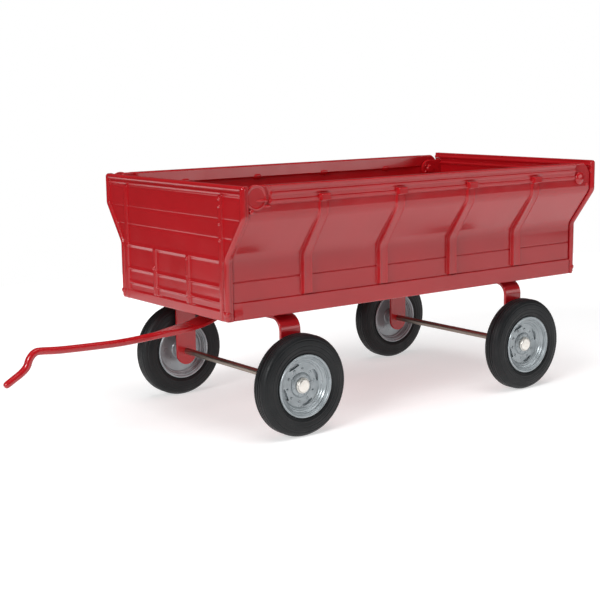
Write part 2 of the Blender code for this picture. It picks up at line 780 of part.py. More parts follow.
# ---- Running gear ---------------------------------------------------------------------------------
def strip_line(top):
    """Centre line (y, z) and outward normals of a bracket strip, from one arm's foot to the other's."""
    half = STRIP_THICKNESS / 2
    radius = STRIP_BEND + half
    arm = ARM_OUTER - half
    centre = Vector((arm - radius, top - half - radius))
    foot = TYRE_RADIUS - ARM_BELOW_AXLE
    end = STRIP_WIDTH / 2
    line = []
    for share in FOOT_SHARES:
        line.append((Vector((arm, foot + end * (1 - math.sqrt(1 - share**2)))), Vector((1, 0))))
    for k in range(STRIP_BEND_STEPS + 1):
        angle = math.pi / 2 * k / STRIP_BEND_STEPS
        normal = Vector((math.cos(angle), math.sin(angle)))
        line.append((centre + normal * radius, normal))
    mirrored = [(Vector((-p.x, p.y)), Vector((-n.x, n.y))) for p, n in reversed(line)]
    return line + mirrored


def strip_half_width(height):
    """Half the strip's width, which rounds off at the foot of each arm."""
    end = STRIP_WIDTH / 2
    above = height - (TYRE_RADIUS - ARM_BELOW_AXLE)
    if above >= end:
        return end
    return math.sqrt(max(0.0, end**2 - (end - above) ** 2))


def make_bracket(name, back, top, holes):
    """A strip bent into a wide, upside-down U, with the axle through its round-ended arms."""
    half = STRIP_THICKNESS / 2
    sections = []
    for point, normal in strip_line(top):
        wide = strip_half_width(point.y)
        outer, inner = point + normal * half, point - normal * half
        sections.append(
            [
                (x_at(back) + wide, outer.x, outer.y),
                (x_at(back) - wide, outer.x, outer.y),
                (x_at(back) - wide, inner.x, inner.y),
                (x_at(back) + wide, inner.x, inner.y),
            ]
        )
    bracket = loft(name, sections, RED_ENAMEL)
    axle = (x_at(back), 0, TYRE_RADIUS)
    drill(bracket, ROD_RADIUS + GAP, 4 * ARM_OUTER, (0, 1, 0), [axle])
    for radius, y in holes:
        drill(bracket, radius + GAP, DRILL_REACH, (0, 0, 1), [(x_at(back), y, top - half)])
    return bracket


def make_axle_rod(name, back):
    """A plain round axle, ending inside its two caps."""
    rod = rod_shape(name, ROD_RADIUS, 2 * (TRACK_HALF + HUB_FACE + 2 * GAP), BARE_STEEL)
    return along(rod, (0, 1, 0), (x_at(back), 0, TYRE_RADIUS))


def make_rim(name):
    """A dished rim with a hub sleeve and four slots, its outboard side up along local Z."""
    bore = ROD_RADIUS + GAP
    profile = [(bore, HUB_FACE)]
    profile += [(radius * MM, out * MM) for radius, out in RIM_OUTLINE]
    profile += [(bore, RIM_OUTLINE[-1][1] * MM)]
    rim = turned(name, profile, GREY_RIM)
    cutters = []
    for k in range(SLOT_COUNT):
        angle = math.radians(SLOT_START + 360 / SLOT_COUNT * k)
        cutter = block("cutter", (-SLOT_HALF, -SLOT_EDGE, -SLOT_HALF), (SLOT_HALF, SLOT_EDGE, SLOT_HALF))
        cutter.rotation_euler = (0, 0, angle + math.pi / 2)
        cutter.location = (SLOT_RADIUS * math.cos(angle), SLOT_RADIUS * math.sin(angle), 0)
        cutters.append(cutter)
    return combine(rim, cutters, "DIFFERENCE")


def make_tyre(name):
    """A solid rubber tyre, turned about local Z. Its facets lie flat on the ground at full radius."""
    across_flats = 1 / math.cos(math.pi / ROUND_STEPS)
    half = [(radius * MM * across_flats, out * MM) for radius, out in TYRE_OUTLINE]
    profile = half + [(radius, -out) for radius, out in reversed(half)]
    return turned(name, profile, BLACK_RUBBER, turn=0.5)


def make_cap(name):
    """A domed cap pressed on the end of the axle, with its open end at local z = 0."""
    bore = ROD_RADIUS + GAP
    profile = [(CAP_RADIUS * across, CAP_DEPTH * up) for across, up in CAP_OUTLINE]
    profile += [
        (bore, 0),
        (bore, CAP_DEPTH - CAP_WALL),
        (0, CAP_DEPTH - CAP_WALL),
    ]
    return turned(name, profile, BRIGHT_STEEL, SMALL_ROUND_STEPS)


def make_wheel(end, word, hand, back):
    """Rim, tyre and axle cap of one wheel. The cap stays with the axle."""
    centre = (x_at(back), hand * TRACK_HALF, TYRE_RADIUS)
    outward = (0, hand, 0)
    rim = along(make_rim(f"{end}_{word}_rim"), outward, centre)
    tyre = along(make_tyre(f"{end}_{word}_tyre"), outward, centre)
    cap_at = (centre[0], hand * (TRACK_HALF + HUB_FACE + GAP), centre[2])
    cap = along(make_cap(f"{end}_{word}_axle_cap"), outward, cap_at)
    return rim, tyre, cap


# ---- Tongue ---------------------------------------------------------------------------------------
def make_tongue():
    """The drawbar: a plate under the front bracket, drawn out into a rod."""
    spots = [Vector((x_at(-ahead * MM), height * MM)) for ahead, height, _, _ in TONGUE_ROUTE]
    sections = []
    for i, (_, _, width, thickness) in enumerate(TONGUE_ROUTE):
        run = (spots[min(i + 1, len(spots) - 1)] - spots[max(i - 1, 0)]).normalized()
        up = Vector((-run.y, run.x))
        section = []
        for k in range(TONGUE_SIDES):
            angle = math.tau * (k + 0.5) / TONGUE_SIDES
            across = width * MM / 2 * math.cos(angle) / math.cos(math.pi / TONGUE_SIDES)
            lift = thickness * MM / 2 * math.sin(angle)
            if width > 2 * thickness:
                lift = math.copysign(thickness * MM / 2, math.sin(angle))
            point = spots[i] + up * lift
            section.append((point.x, across, point.y))
        sections.append(section)
    tongue = loft("tongue", sections, RED_ENAMEL)
    hole = (x_at(FRONT_AXLE_BACK), 0, spots[2].y)
    return drill(tongue, KINGPIN_RADIUS + GAP, DRILL_REACH, (0, 0, 1), [hole])


# ---- Assembly -------------------------------------------------------------------------------------
def build():
    clear_scene()
    make_floor()
    make_front_panel()
    for hand, word in ((1, "left"), (-1, "right")):
        make_side(f"{word}_side", hand)
    tailgate = make_tailgate()
    put_origin(tailgate, (x_at(PIVOT_BACK), 0, PIVOT_Z))
    make_floor_rivets()
    make_tailgate_pins()
    make_kingpin()
    make_kingpin_spacer()

    rear_holes = [(RIVET_RADIUS, hand * REAR_RIVET_Y) for hand in (-1, 1)]
    make_bracket("rear_axle_bracket", REAR_AXLE_BACK, REAR_STRIP_TOP, rear_holes)
    make_axle_rod("rear_axle_rod", REAR_AXLE_BACK)

    steer = joint_empty("front_steer_axis", (x_at(FRONT_AXLE_BACK), 0, FRONT_STRIP_TOP))
    king_hole = [(KINGPIN_RADIUS, 0)]
    bracket = make_bracket("front_axle_bracket", FRONT_AXLE_BACK, FRONT_STRIP_TOP, king_hole)
    front_rod = make_axle_rod("front_axle_rod", FRONT_AXLE_BACK)
    hang(steer, bracket, front_rod, make_tongue())

    for end, back in (("front", FRONT_AXLE_BACK), ("rear", REAR_AXLE_BACK)):
        for hand, word in ((1, "left"), (-1, "right")):
            pieces = make_wheel(end, word, hand, back)
            if end == "front":
                hang(steer, *pieces)


build()
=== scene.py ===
import math

import bmesh
import bpy
import numpy as np
from mathutils import Matrix, Vector


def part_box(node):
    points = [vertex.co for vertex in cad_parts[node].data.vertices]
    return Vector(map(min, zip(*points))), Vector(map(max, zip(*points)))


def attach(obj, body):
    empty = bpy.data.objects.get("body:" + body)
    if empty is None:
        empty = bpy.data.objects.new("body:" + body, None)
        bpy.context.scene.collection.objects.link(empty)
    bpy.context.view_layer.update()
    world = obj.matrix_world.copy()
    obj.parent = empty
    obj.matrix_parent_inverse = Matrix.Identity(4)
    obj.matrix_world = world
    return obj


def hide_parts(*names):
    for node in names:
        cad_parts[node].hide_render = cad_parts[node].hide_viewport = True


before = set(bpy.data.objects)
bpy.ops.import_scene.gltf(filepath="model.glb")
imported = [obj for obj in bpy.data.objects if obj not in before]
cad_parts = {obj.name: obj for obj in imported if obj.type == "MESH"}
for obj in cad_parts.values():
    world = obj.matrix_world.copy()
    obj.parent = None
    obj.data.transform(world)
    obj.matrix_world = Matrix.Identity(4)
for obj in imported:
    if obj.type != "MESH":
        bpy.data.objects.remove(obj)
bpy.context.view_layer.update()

# Lengths are millimetres until a mesh is made. "back" is measured rearwards from the box's front face.
MM = 0.001


def spot_box(node):
    """A CAD node's lowest and highest corner in millimetres."""
    return [np.round(np.array(corner) / MM, 3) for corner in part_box(node)]


def middle_of(node):
    low, high = spot_box(node)
    return np.round((low + high) / 2, 3)


# ---- Places taken from the frame -----------------------------------------------
PANEL_LOW, PANEL_HIGH = spot_box("front_panel")
SIDE_LOW, SIDE_HIGH = spot_box("left_side")
FLOOR_BOX_LOW, FLOOR_BOX_HIGH = spot_box("floor_pan")
BRACKET_LOW, BRACKET_HIGH = spot_box("front_axle_bracket")
PIN_MIDDLE = middle_of("tailgate_pin_left")
WHEEL_MIDDLES = {end: middle_of(f"{end}_left_tyre") for end in ("front", "rear")}

BOX_FRONT = float(PANEL_HIGH[0])
BOTTOM, TOP = float(PANEL_LOW[2]), float(PANEL_HIGH[2])
HIGH_HALF = float(PANEL_HIGH[1])
SIDE_START = round(BOX_FRONT - float(SIDE_HIGH[0]), 3)
SIDE_END = round(BOX_FRONT - float(SIDE_LOW[0]), 3)
GATE_TOP = float(spot_box("tailgate")[1][2])
PIVOT = (round(BOX_FRONT - float(PIN_MIDDLE[0]), 3), float(PIN_MIDDLE[2]))
FLOOR_LOW, BED = float(FLOOR_BOX_LOW[2]), float(FLOOR_BOX_HIGH[2])
FLOOR_HALF = float(FLOOR_BOX_HIGH[1])
AXLE_BACKS = {end: round(BOX_FRONT - float(spot[0]), 3) for end, spot in WHEEL_MIDDLES.items()}
TRACK_HALF, AXLE_Z = float(WHEEL_MIDDLES["front"][1]), float(WHEEL_MIDDLES["front"][2])
ARM_OUTER = float(BRACKET_HIGH[1])
STRIP_HALF = round(float(BRACKET_HIGH[0] - BRACKET_LOW[0]) / 2, 3)
STRIP_TOPS = {end: float(spot_box(f"{end}_axle_bracket")[1][2]) for end in AXLE_BACKS}

# ---- The box's section and its common depths -----------------------------------
LOW_KINK, HIGH_KINK = 78.0, 95.4  # the walls lean out between these heights
LOW_HALF = 44.0
LOW_BEND, HIGH_BEND = 3.5, 3.4
BEND_SPOTS = 17
FAR_UP = 130.0  # a height above everything
RELIEF, WALL = 0.8, 1.6
HANDS = {"left": 1, "right": -1}

# ---- Fineness of the grids -----------------------------------------------------
RAMP = 0.5  # width over which raised detail reaches its height
BORDER_STEPS = (0, 0.05, 0.13, 0.26, 0.42, 0.62)  # lines in from a border
RAMP_STEPS = (-0.95, -0.52, -0.3, -0.1, 0.1, 0.3, 0.52, 0.95)  # lines across a ramp, in ramp widths
CLOSEST, CLOSEST_TO_END = 0.04, 0.03


# ---- Profiles ------------------------------------------------------------------
def smooth(t):
    t = np.clip(t, 0, 1)
    return t * t * (3 - 2 * t)


def rise(value, edge, width=RAMP):
    """0 below an edge and 1 above it."""
    return smooth((value - edge) / width + 0.5)


def between(value, low, high, width=RAMP):
    return rise(value, low, width) - rise(value, high, width)


def ridge(value, centre, half):
    """A rounded bump of height 1 across a line."""
    return np.sqrt(np.clip(1 - ((value - centre) / half) ** 2, 0, 1))


def groove(value, centre, half):
    """A soft line of height 1, flat at both feet."""
    return smooth(1 - np.abs(value - centre) / half)


def edge_round(distance, radius):
    """How far a surface falls away near its border, for a rounded edge."""
    reach = radius - np.clip(distance, 0, radius)
    return radius - np.sqrt(np.clip(radius**2 - reach**2, 0, None))


def lines(low, high, step, edges=(), width=RAMP):
    """Grid lines: evenly spaced, closer at both borders and across each edge's ramp."""
    border = np.array(BORDER_STEPS)
    found = [np.linspace(low, high, int((high - low) / step) + 2), low + border, high - border]
    found += [edge + np.array(RAMP_STEPS) * width for edge in edges]
    values = np.sort(np.concatenate(found))
    values = values[(values >= low) & (values <= high)]
    kept = [low]
    for value in values:
        if value - kept[-1] > CLOSEST and high - value > CLOSEST_TO_END:
            kept.append(value)
    return np.array(kept + [high])


def outline(inset):
    """Heights, distances from the middle and tilts up the flared wall, a depth inside its envelope."""
    lean = math.atan2(HIGH_HALF - LOW_HALF, HIGH_KINK - LOW_KINK)
    shift = inset * math.tan(lean / 2)
    spots = [(0.0, LOW_HALF - inset, 0.0)]
    radius = LOW_BEND + inset
    start = LOW_KINK + shift - radius * math.tan(lean / 2)
    for t in np.linspace(0, lean, BEND_SPOTS):
        y = LOW_HALF - inset + radius * (1 - math.cos(t))
        spots.append((start + radius * math.sin(t), y, t))
    radius = HIGH_BEND - inset
    end = HIGH_KINK + shift + radius * math.tan(lean / 2)
    for t in np.linspace(lean, 0, BEND_SPOTS):
        y = HIGH_HALF - inset - radius * (1 - math.cos(t))
        spots.append((end - radius * math.sin(t), y, t))
    spots.append((FAR_UP, HIGH_HALF - inset, 0.0))
    return np.array(spots).T


def wall(z, inset):
    """The wall's distance from the middle and its tilt, at heights z."""
    heights, widths, tilts = outline(inset)
    return np.interp(z, heights, widths), np.interp(z, heights, tilts)


# ---- Mesh parts: each is (points, faces) ---------------------------------------
SLAB_CORNER = 0.6
STUD_SUNK = 0.4  # how far a stud's foot reaches into what it stands on
STUD_FLARE = 1.02
ON_AXIS = 1e-6  # a radius below this counts as 0
DOME = (0.5, 0.9)  # the sections of a bar's domed end, as shares of its radius


def grid_faces(rows, cols, start=0, closed=False):
    r, c = np.meshgrid(np.arange(rows - 1), np.arange(cols if closed else cols - 1), indexing="ij")
    after = (c + 1) % cols
    quads = np.stack([r * cols + c, r * cols + after, (r + 1) * cols + after, (r + 1) * cols + c], -1)
    return (quads.reshape(-1, 4) + start).tolist()


def shell(outer, inner):
    """A closed skin over two grids of the same size that face each other."""
    rows, cols, _ = outer.shape
    count = rows * cols
    faces = grid_faces(rows, cols) + grid_faces(rows, cols, count)
    ring = [(0, c) for c in range(cols)] + [(r, cols - 1) for r in range(1, rows)]
    ring += [(rows - 1, c) for c in range(cols - 2, -1, -1)] + [(r, 0) for r in range(rows - 2, 0, -1)]
    index = [r * cols + c for r, c in ring]
    for a, b in zip(index, index[1:] + index[:1]):
        faces.append([a, b, b + count, a + count])
    return np.concatenate([outer.reshape(-1, 3), inner.reshape(-1, 3)]), faces


def fillet(points, radius, steps=4, closed=False):
    """A polyline with its corners rounded."""
    spots = [np.array(p, float) for p in points]
    longest = 0.45  # share of a stretch that one corner may use up
    nearly_straight = math.pi - 0.02
    made = []
    for i, spot in enumerate(spots):
        if not closed and i in (0, len(spots) - 1):
            made.append(spot)
            continue
        before, after = spots[i - 1] - spot, spots[(i + 1) % len(spots)] - spot
        a, b = np.linalg.norm(before), np.linalg.norm(after)
        before, after = before / a, after / b
        bend = math.acos(np.clip(before @ after, -1, 1))
        if bend > nearly_straight:
            made.append(spot)
            continue
        reach = min(radius / math.tan(bend / 2), a * longest, b * longest)
        start, end = spot + before * reach, spot + after * reach
        for t in np.linspace(0, 1, steps + 1):
            made.append((1 - t) ** 2 * start + 2 * t * (1 - t) * spot + t * t * end)
    return made


def lathe(profile, steps):
    """A surface turned about Z from an open profile of (radius, height). Radius 0 becomes one point."""
    verts, faces, rings = [], [], []
    for radius, height in profile:
        if radius < ON_AXIS:
            rings.append([len(verts)] * steps)
            verts.append((0, 0, height))
            continue
        rings.append(list(range(len(verts), len(verts) + steps)))
        for k in range(steps):
            angle = math.tau * k / steps
            verts.append((radius * math.cos(angle), radius * math.sin(angle), height))
    for low, high in zip(rings, rings[1:]):
        for k in range(steps):
            j = (k + 1) % steps
            corners = list(dict.fromkeys((low[k], low[j], high[j], high[k])))
            if len(corners) > 2:
                faces.append(corners)
    return np.array(verts, float), faces


def ring_lathe(profile, steps):
    """A ring turned about Z from a closed profile that stays off the axis."""
    return lathe(list(profile) + [profile[0]], steps)


def sweep(rings):
    """A solid skinned over rings of equal length, with flat ends."""
    rows, cols = len(rings), len(rings[0])
    faces = grid_faces(rows, cols, closed=True)
    faces += [list(range(cols)), list(range((rows - 1) * cols, rows * cols))]
    return np.array(rings, float).reshape(-1, 3), faces


def put(part, axis, at):
    """Turn a part's Z to an axis and move it."""
    turn = np.array(Vector((0, 0, 1)).rotation_difference(Vector(axis)).to_matrix())
    return part[0] @ turn.T + np.array(at), part[1]


def slab(low, high, radius):
    """A box with rounded upright edges and rounded rims."""
    made = []
    for shrink, z in ((radius, low[2]), (0, low[2] + radius), (0, high[2] - radius), (radius, high[2])):
        x0, x1, y0, y1 = low[0] + shrink, high[0] - shrink, low[1] + shrink, high[1] - shrink
        corners = fillet([(x0, y0), (x1, y0), (x1, y1), (x0, y1)], SLAB_CORNER, 3, closed=True)
        made.append([(x, y, z) for x, y in corners])
    return sweep(made)


def stud(radius, height, steps=20):
    """A domed bump with its foot at z = 0."""
    profile = [(0, height)]
    for t in np.linspace(0.15, 1, 7):
        profile.append((radius * math.sin(t * math.pi / 2), height * math.cos(t * math.pi / 2)))
    return lathe(profile + [(radius * STUD_FLARE, -STUD_SUNK), (0, -STUD_SUNK)], steps)


def tube(spots, radius, steps=16):
    """A round bar through points, with domed ends."""
    spots = np.array(spots, float)
    first, last = spots[1] - spots[0], spots[-1] - spots[-2]
    first, last = first / np.linalg.norm(first), last / np.linalg.norm(last)
    rings = [(spots[0] - first * radius * math.sqrt(1 - keep**2), first, keep) for keep in DOME]
    for i, spot in enumerate(spots):
        run = spots[min(i + 1, len(spots) - 1)] - spots[max(i - 1, 0)]
        rings.append((spot, run / np.linalg.norm(run), 1.0))
    rings += [(spots[-1] + last * radius * math.sqrt(1 - keep**2), last, keep) for keep in DOME[::-1]]
    angles = [math.tau * k / steps for k in range(steps)]
    made = []
    for spot, run, keep in rings:
        side = np.cross(run, (1.0, 0.0, 0.0))
        side /= np.linalg.norm(side)
        other = np.cross(run, side)
        made.append([spot + radius * keep * (side * math.cos(a) + other * math.sin(a)) for a in angles])
    return sweep(made)


def mesh_from(name, points, faces):
    """A mesh with its faces pointing out."""
    mesh = bpy.data.meshes.new(name)
    mesh.from_pydata(points.tolist(), [], faces)
    shape = bmesh.new()
    shape.from_mesh(mesh)
    bmesh.ops.recalc_face_normals(shape, faces=shape.faces)
    shape.to_mesh(mesh)
    shape.free()
    return mesh


def cut(part, *cutters):
    """A closed part less some closed cutters."""
    solids = []
    for points, faces in (part, *cutters):
        solids.append(bpy.data.objects.new("cut", mesh_from("cut", points, faces)))
        bpy.context.collection.objects.link(solids[-1])
    for cutter in solids[1:]:
        solids[0].modifiers.new("cut", "BOOLEAN").object = cutter
    bpy.context.view_layer.update()
    left = bpy.data.meshes.new_from_object(solids[0].evaluated_get(bpy.context.evaluated_depsgraph_get()))
    points = np.array([tuple(corner.co) for corner in left.vertices])
    faces = [list(face.vertices) for face in left.polygons]
    for solid in solids:
        bpy.data.objects.remove(solid, do_unlink=True)
    return points, faces


def bore(radius, axis, at, reach=3.0):
    """A cutter for a round hole."""
    return put(lathe([(0, reach), (radius, reach), (radius, -reach), (0, -reach)], steps=40), axis, at)


def piece(name, parts, finish, body, slot, *nodes, sharp=40):
    """One shown object from parts, standing for CAD nodes and riding with a body."""
    verts, faces, start = [], [], 0
    for points, part_faces in parts:
        verts.append(points)
        faces += [[i + start for i in face] for face in part_faces]
        start += len(points)
    mesh = mesh_from(name, np.concatenate(verts) * MM, faces)
    mesh.shade_smooth()
    mesh.set_sharp_from_angle(angle=math.radians(sharp))
    mesh.materials.append(finish)
    made = bpy.data.objects.new(name, mesh)
    bpy.context.collection.objects.link(made)
    made.modifiers.new("normals", "WEIGHTED_NORMAL").keep_sharp = True
    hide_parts(*nodes)
    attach(made, body)
    return made


# ---- Materials -----------------------------------------------------------------
def surface(name, colour, roughness, metallic=0.0, **uniform):
    """A Principled material, with its node tree, its shader and its object coordinates."""
    made = bpy.data.materials.new(name)
    made.use_nodes = True
    tree = made.node_tree
    shader = tree.nodes["Principled BSDF"]
    shader.inputs["Base Color"].default_value = (*colour, 1)
    shader.inputs["Roughness"].default_value = roughness
    shader.inputs["Metallic"].default_value = metallic
    for key, value in uniform.items():
        shader.inputs[key.replace("_", " ")].default_value = value
    coords = tree.nodes.new("ShaderNodeTexCoord").outputs["Object"]
    return made, tree, shader, coords


def noise(tree, coords, scale, detail=3.0, stretch=None):
    if stretch:
        mapping = tree.nodes.new("ShaderNodeMapping")
        mapping.inputs["Scale"].default_value = stretch
        tree.links.new(coords, mapping.inputs["Vector"])
        coords = mapping.outputs["Vector"]
    node = tree.nodes.new("ShaderNodeTexNoise")
    node.inputs["Scale"].default_value = scale
    node.inputs["Detail"].default_value = detail
    tree.links.new(coords, node.inputs["Vector"])
    return node.outputs["Fac"]


def spread(tree, value, low, high, start=0.3, end=0.7):
    """A value's range from start to end, mapped to low to high."""
    node = tree.nodes.new("ShaderNodeMapRange")
    for key, number in zip(("From Min", "From Max", "To Min", "To Max"), (start, end, low, high)):
        node.inputs[key].default_value = number
    tree.links.new(value, node.inputs["Value"])
    return node.outputs["Result"]


def tint(tree, shader, pattern, low, high):
    """The base colour goes from low to high with a pattern."""
    node = tree.nodes.new("ShaderNodeMix")
    node.data_type = "RGBA"
    node.inputs["A"].default_value = (*low, 1)
    node.inputs["B"].default_value = (*high, 1)
    tree.links.new(spread(tree, pattern, 0, 1), node.inputs["Factor"])
    tree.links.new(node.outputs["Result"], shader.inputs["Base Color"])


def polish(tree, shader, pattern, low, high):
    """The roughness goes from low to high with a pattern."""
    tree.links.new(spread(tree, pattern, low, high), shader.inputs["Roughness"])


def bump(tree, shader, height, distance, strength):
    """A fine relief, whose distance is in metres."""
    node = tree.nodes.new("ShaderNodeBump")
    node.inputs["Distance"].default_value = distance
    node.inputs["Strength"].default_value = strength
    tree.links.new(height, node.inputs["Height"])
    tree.links.new(node.outputs["Normal"], shader.inputs["Normal"])


def enamel():
    """Thick red enamel: a slow wave in the film, and a glossy coat."""
    made, tree, shader, coords = surface(
        "enamel", (0.42, 0.006, 0.010), roughness=0.22, Coat_Weight=0.35, Coat_Roughness=0.06
    )
    patches = noise(tree, coords, scale=28)
    tint(tree, shader, patches, low=(0.38, 0.005, 0.008), high=(0.44, 0.007, 0.012))
    polish(tree, shader, noise(tree, coords, scale=120), low=0.18, high=0.27)
    bump(tree, shader, noise(tree, coords, scale=60, detail=1), distance=0.0001, strength=0.3)
    return made


def rim_plastic():
    """Silver-grey moulded plastic with a faint sparkle."""
    made, tree, shader, coords = surface(
        "rim_plastic", (0.38, 0.42, 0.44), roughness=0.34, metallic=0.4, Specular_IOR_Level=0.5
    )
    flecks = noise(tree, coords, scale=160)
    tint(tree, shader, flecks, low=(0.30, 0.335, 0.352), high=(0.42, 0.46, 0.48))
    polish(tree, shader, noise(tree, coords, scale=420), low=0.26, high=0.4)
    bump(tree, shader, noise(tree, coords, scale=1500, detail=2), distance=0.00002, strength=0.4)
    return made


def rubber():
    """Black rubber with cloudy wear and a fine grain."""
    made, tree, shader, coords = surface(
        "rubber", (0.011, 0.012, 0.013), roughness=0.5, Specular_IOR_Level=0.27
    )
    clouds = noise(tree, coords, scale=90, detail=5)
    tint(tree, shader, clouds, low=(0.008, 0.009, 0.010), high=(0.014, 0.015, 0.016))
    polish(tree, shader, noise(tree, coords, scale=300), low=0.36, high=0.5)
    bump(tree, shader, noise(tree, coords, scale=2200, detail=3), distance=0.00003, strength=0.5)
    return made


def steel():
    """Brown-grey drawn steel, streaked round its length."""
    made, tree, shader, coords = surface("steel", (0.36, 0.31, 0.27), roughness=0.34, metallic=1.0)
    streaks = noise(tree, coords, scale=60, detail=4, stretch=(60, 1, 60))
    tint(tree, shader, streaks, low=(0.25, 0.20, 0.165), high=(0.46, 0.41, 0.36))
    polish(tree, shader, streaks, low=0.26, high=0.48)
    bump(tree, shader, streaks, distance=0.00002, strength=0.35)
    return made


def bright():
    """Pale pressed metal with tool marks."""
    made, tree, shader, coords = surface("bright", (0.88, 0.85, 0.79), roughness=0.2, metallic=1.0)
    marks = noise(tree, coords, scale=700, detail=6)
    tint(tree, shader, marks, low=(0.78, 0.74, 0.67), high=(0.93, 0.91, 0.87))
    polish(tree, shader, marks, low=0.32, high=0.52)
    bump(tree, shader, marks, distance=0.00003, strength=0.3)
    return made


RED, GREY, RUBBER, STEEL, BRIGHT = enamel(), rim_plastic(), rubber(), steel(), bright()

# ---- Sides ---------------------------------------------------------------------
STAKES = [41.6 + 42.6 * k for k in range(4)]
STAKE_HALF, STAKE_PROUD, STAKE_FOOT = 2.6, 1.6, 60.3
STAKE_LIP = 2.0  # from a stake's middle to each of its raised lips
FOOT_RAMP, SILL_RAMP = 0.4, 0.35
LIP_PROUD, LIP_HALF = 0.28, 0.6
CAP_LOW, CAP_TOP, CAP_PROUD, CAP_RAMP = 101.2, 104.2, 2.5, 0.7
SILL_TOP = 59.8
SCOOP = ((5.4, 57.9), (2.6, 2.2), 0.8, 1.25)  # middle, radii, depth, reach in radii
PLANK_LINE, PLANK_DEPTH, PLANK_HALF = 68.5, 0.3, 0.42
RAIL_START, RAIL_END, RAIL_BOTTOM = 14.2, 197.4, 101.4
RAIL_PROUD, RAIL_LEAN = 0.35, 0.09
RAIL_RIDGES = ((102.2, 0.95), (105.5, 0.75))  # height, half width
RAIL_LIP = (107.7, 0.6)
RIDGE_PROUD = 0.4
INNER_BAND, INNER_LEAN, INNER_BAND_FOOT, INNER_RAMP = 0.5, 0.1, 103.2, 1.5
INNER_BAND_CLEAR = 9.6  # from the tailgate's pins
KNOB_HEIGHT, KNOB_RADII, KNOB_PROUD = 103.6, (3.0, 1.5), 1.5
FRONT_CORNER = 6.0
CORNER_FOOT = HIGH_KINK + 3  # the side's top corners are shaped above this height
SIDE_EDGE = 0.6
CORNER_DISC, DISC_DROP, RAIL_CLEAR = (7.3, 104.7), 0.4, 6.9
DISC_PROFILE = ((0, 0.25), (3.9, 0.25), (4.5, 0.55), (5.3, 0.5), (5.3, -0.5), (0, -0.5))
# Each bar is (back, height, half length, half height).
CORNER_BARS = ((10.3, 102.9, 3.1, 0.7), (12.4, 100.6, 2.3, 0.65), (5.0, 98.6, 1.2, 1.2))
DISC_EDGE, BAR_LIFT = 0.35, 0.1
REAR_STUD, REAR_STUD_RADIUS, REAR_STUD_PROUD = (206.0, 98.4), 1.2, 0.7
LEDGE_INNER, LEDGE_OUTER, LEDGE_THICKNESS = 35.5, 42.2, 1.0
SMALL_EDGE = 0.2
SIDE_STEP, SIDE_RAMP, SIDE_RISE = 4.5, 0.6, 2.2  # spacings of the grid's lines
PLANK_LEVEL = 0.2  # from the plank line to a grid line on each side of it
FRONT_FINE, REAR_FINE = np.arange(8.0, 15.2, 0.4), np.arange(200.0, 208.4, 0.6)
RAIL_FINE = np.arange(100.8, 108.8, 0.4)


def side_top(back):
    """The top edge's height: rounded at the front, and about the tailgate's pivot at the rear."""
    ahead = np.clip(SIDE_START + FRONT_CORNER - back, 0, FRONT_CORNER)
    front = TOP - FRONT_CORNER + np.sqrt(FRONT_CORNER**2 - ahead**2)
    reach = SIDE_END - PIVOT[0]
    behind = np.clip(back - PIVOT[0], 0, reach)
    return np.minimum(front, np.minimum(TOP, PIVOT[1] + np.sqrt(reach**2 - behind**2)))


def rail_relief(back, z):
    """The rail along the top: it leans out, has three ridges, and ends round the corner disc."""
    off = np.hypot(back - CORNER_DISC[0], z - CORNER_DISC[1])
    here = np.where(back > CORNER_DISC[0], rise(off, RAIL_CLEAR), 0) * (1 - rise(back, RAIL_END))
    ridges = [ridge(z, height, half) for height, half in RAIL_RIDGES] + [rise(z, *RAIL_LIP)]
    body = (RAIL_PROUD + RAIL_LEAN * (z - RAIL_BOTTOM)) * rise(z, RAIL_BOTTOM)
    return here * (body + RIDGE_PROUD * np.max(ridges, axis=0))


def stake_relief(back, z, place):
    """One stake with two lips, thinner as the wall leans out, and the cap over its top."""
    across = between(back, place - STAKE_HALF, place + STAKE_HALF)
    thinned = np.clip((z - LOW_KINK) / (HIGH_KINK - LOW_KINK), 0, 1)
    depth = STAKE_PROUD + (RELIEF - STAKE_PROUD) * thinned
    lips = [groove(back, place + side * STAKE_LIP, LIP_HALF) for side in (-1, 1)]
    depth = depth + LIP_PROUD * np.max(lips, axis=0)
    stake = across * depth * rise(z, STAKE_FOOT, FOOT_RAMP) * (z < RAIL_BOTTOM + 1)
    cap = between(back, place - STAKE_HALF, place + STAKE_HALF, CAP_RAMP)
    return np.maximum(stake, CAP_PROUD * cap * between(z, CAP_LOW, CAP_TOP, CAP_RAMP))


def side_relief(back, z):
    """How far the outer detail stands proud of a side's wall."""
    proud = np.maximum(RELIEF * (1 - rise(z, SILL_TOP, SILL_RAMP)), rail_relief(back, z))
    for place in STAKES:
        proud = np.maximum(proud, stake_relief(back, z, place))
    on_wall = 1 - np.clip(proud / RELIEF, 0, 1)
    (scoop_back, scoop_z), (long, high), depth, reach = SCOOP
    proud = proud - depth * smooth(reach - np.hypot((back - scoop_back) / long, (z - scoop_z) / high))
    return proud - PLANK_DEPTH * groove(z, PLANK_LINE, PLANK_HALF) * on_wall


def side_inner_relief(back, z):
    """The band along the top of the inner face, and a knob behind each stake."""
    along = between(back, RAIL_START, PIVOT[0] - INNER_BAND_CLEAR, INNER_RAMP)
    band = (INNER_BAND + INNER_LEAN * (TOP - z)) * rise(z, INNER_BAND_FOOT) * along
    for place in STAKES:
        off = np.hypot((back - place) / KNOB_RADII[0], (z - KNOB_HEIGHT) / KNOB_RADII[1])
        band = np.maximum(band, KNOB_PROUD * np.sqrt(np.clip(1 - off**2, 0, 1)))
    return band


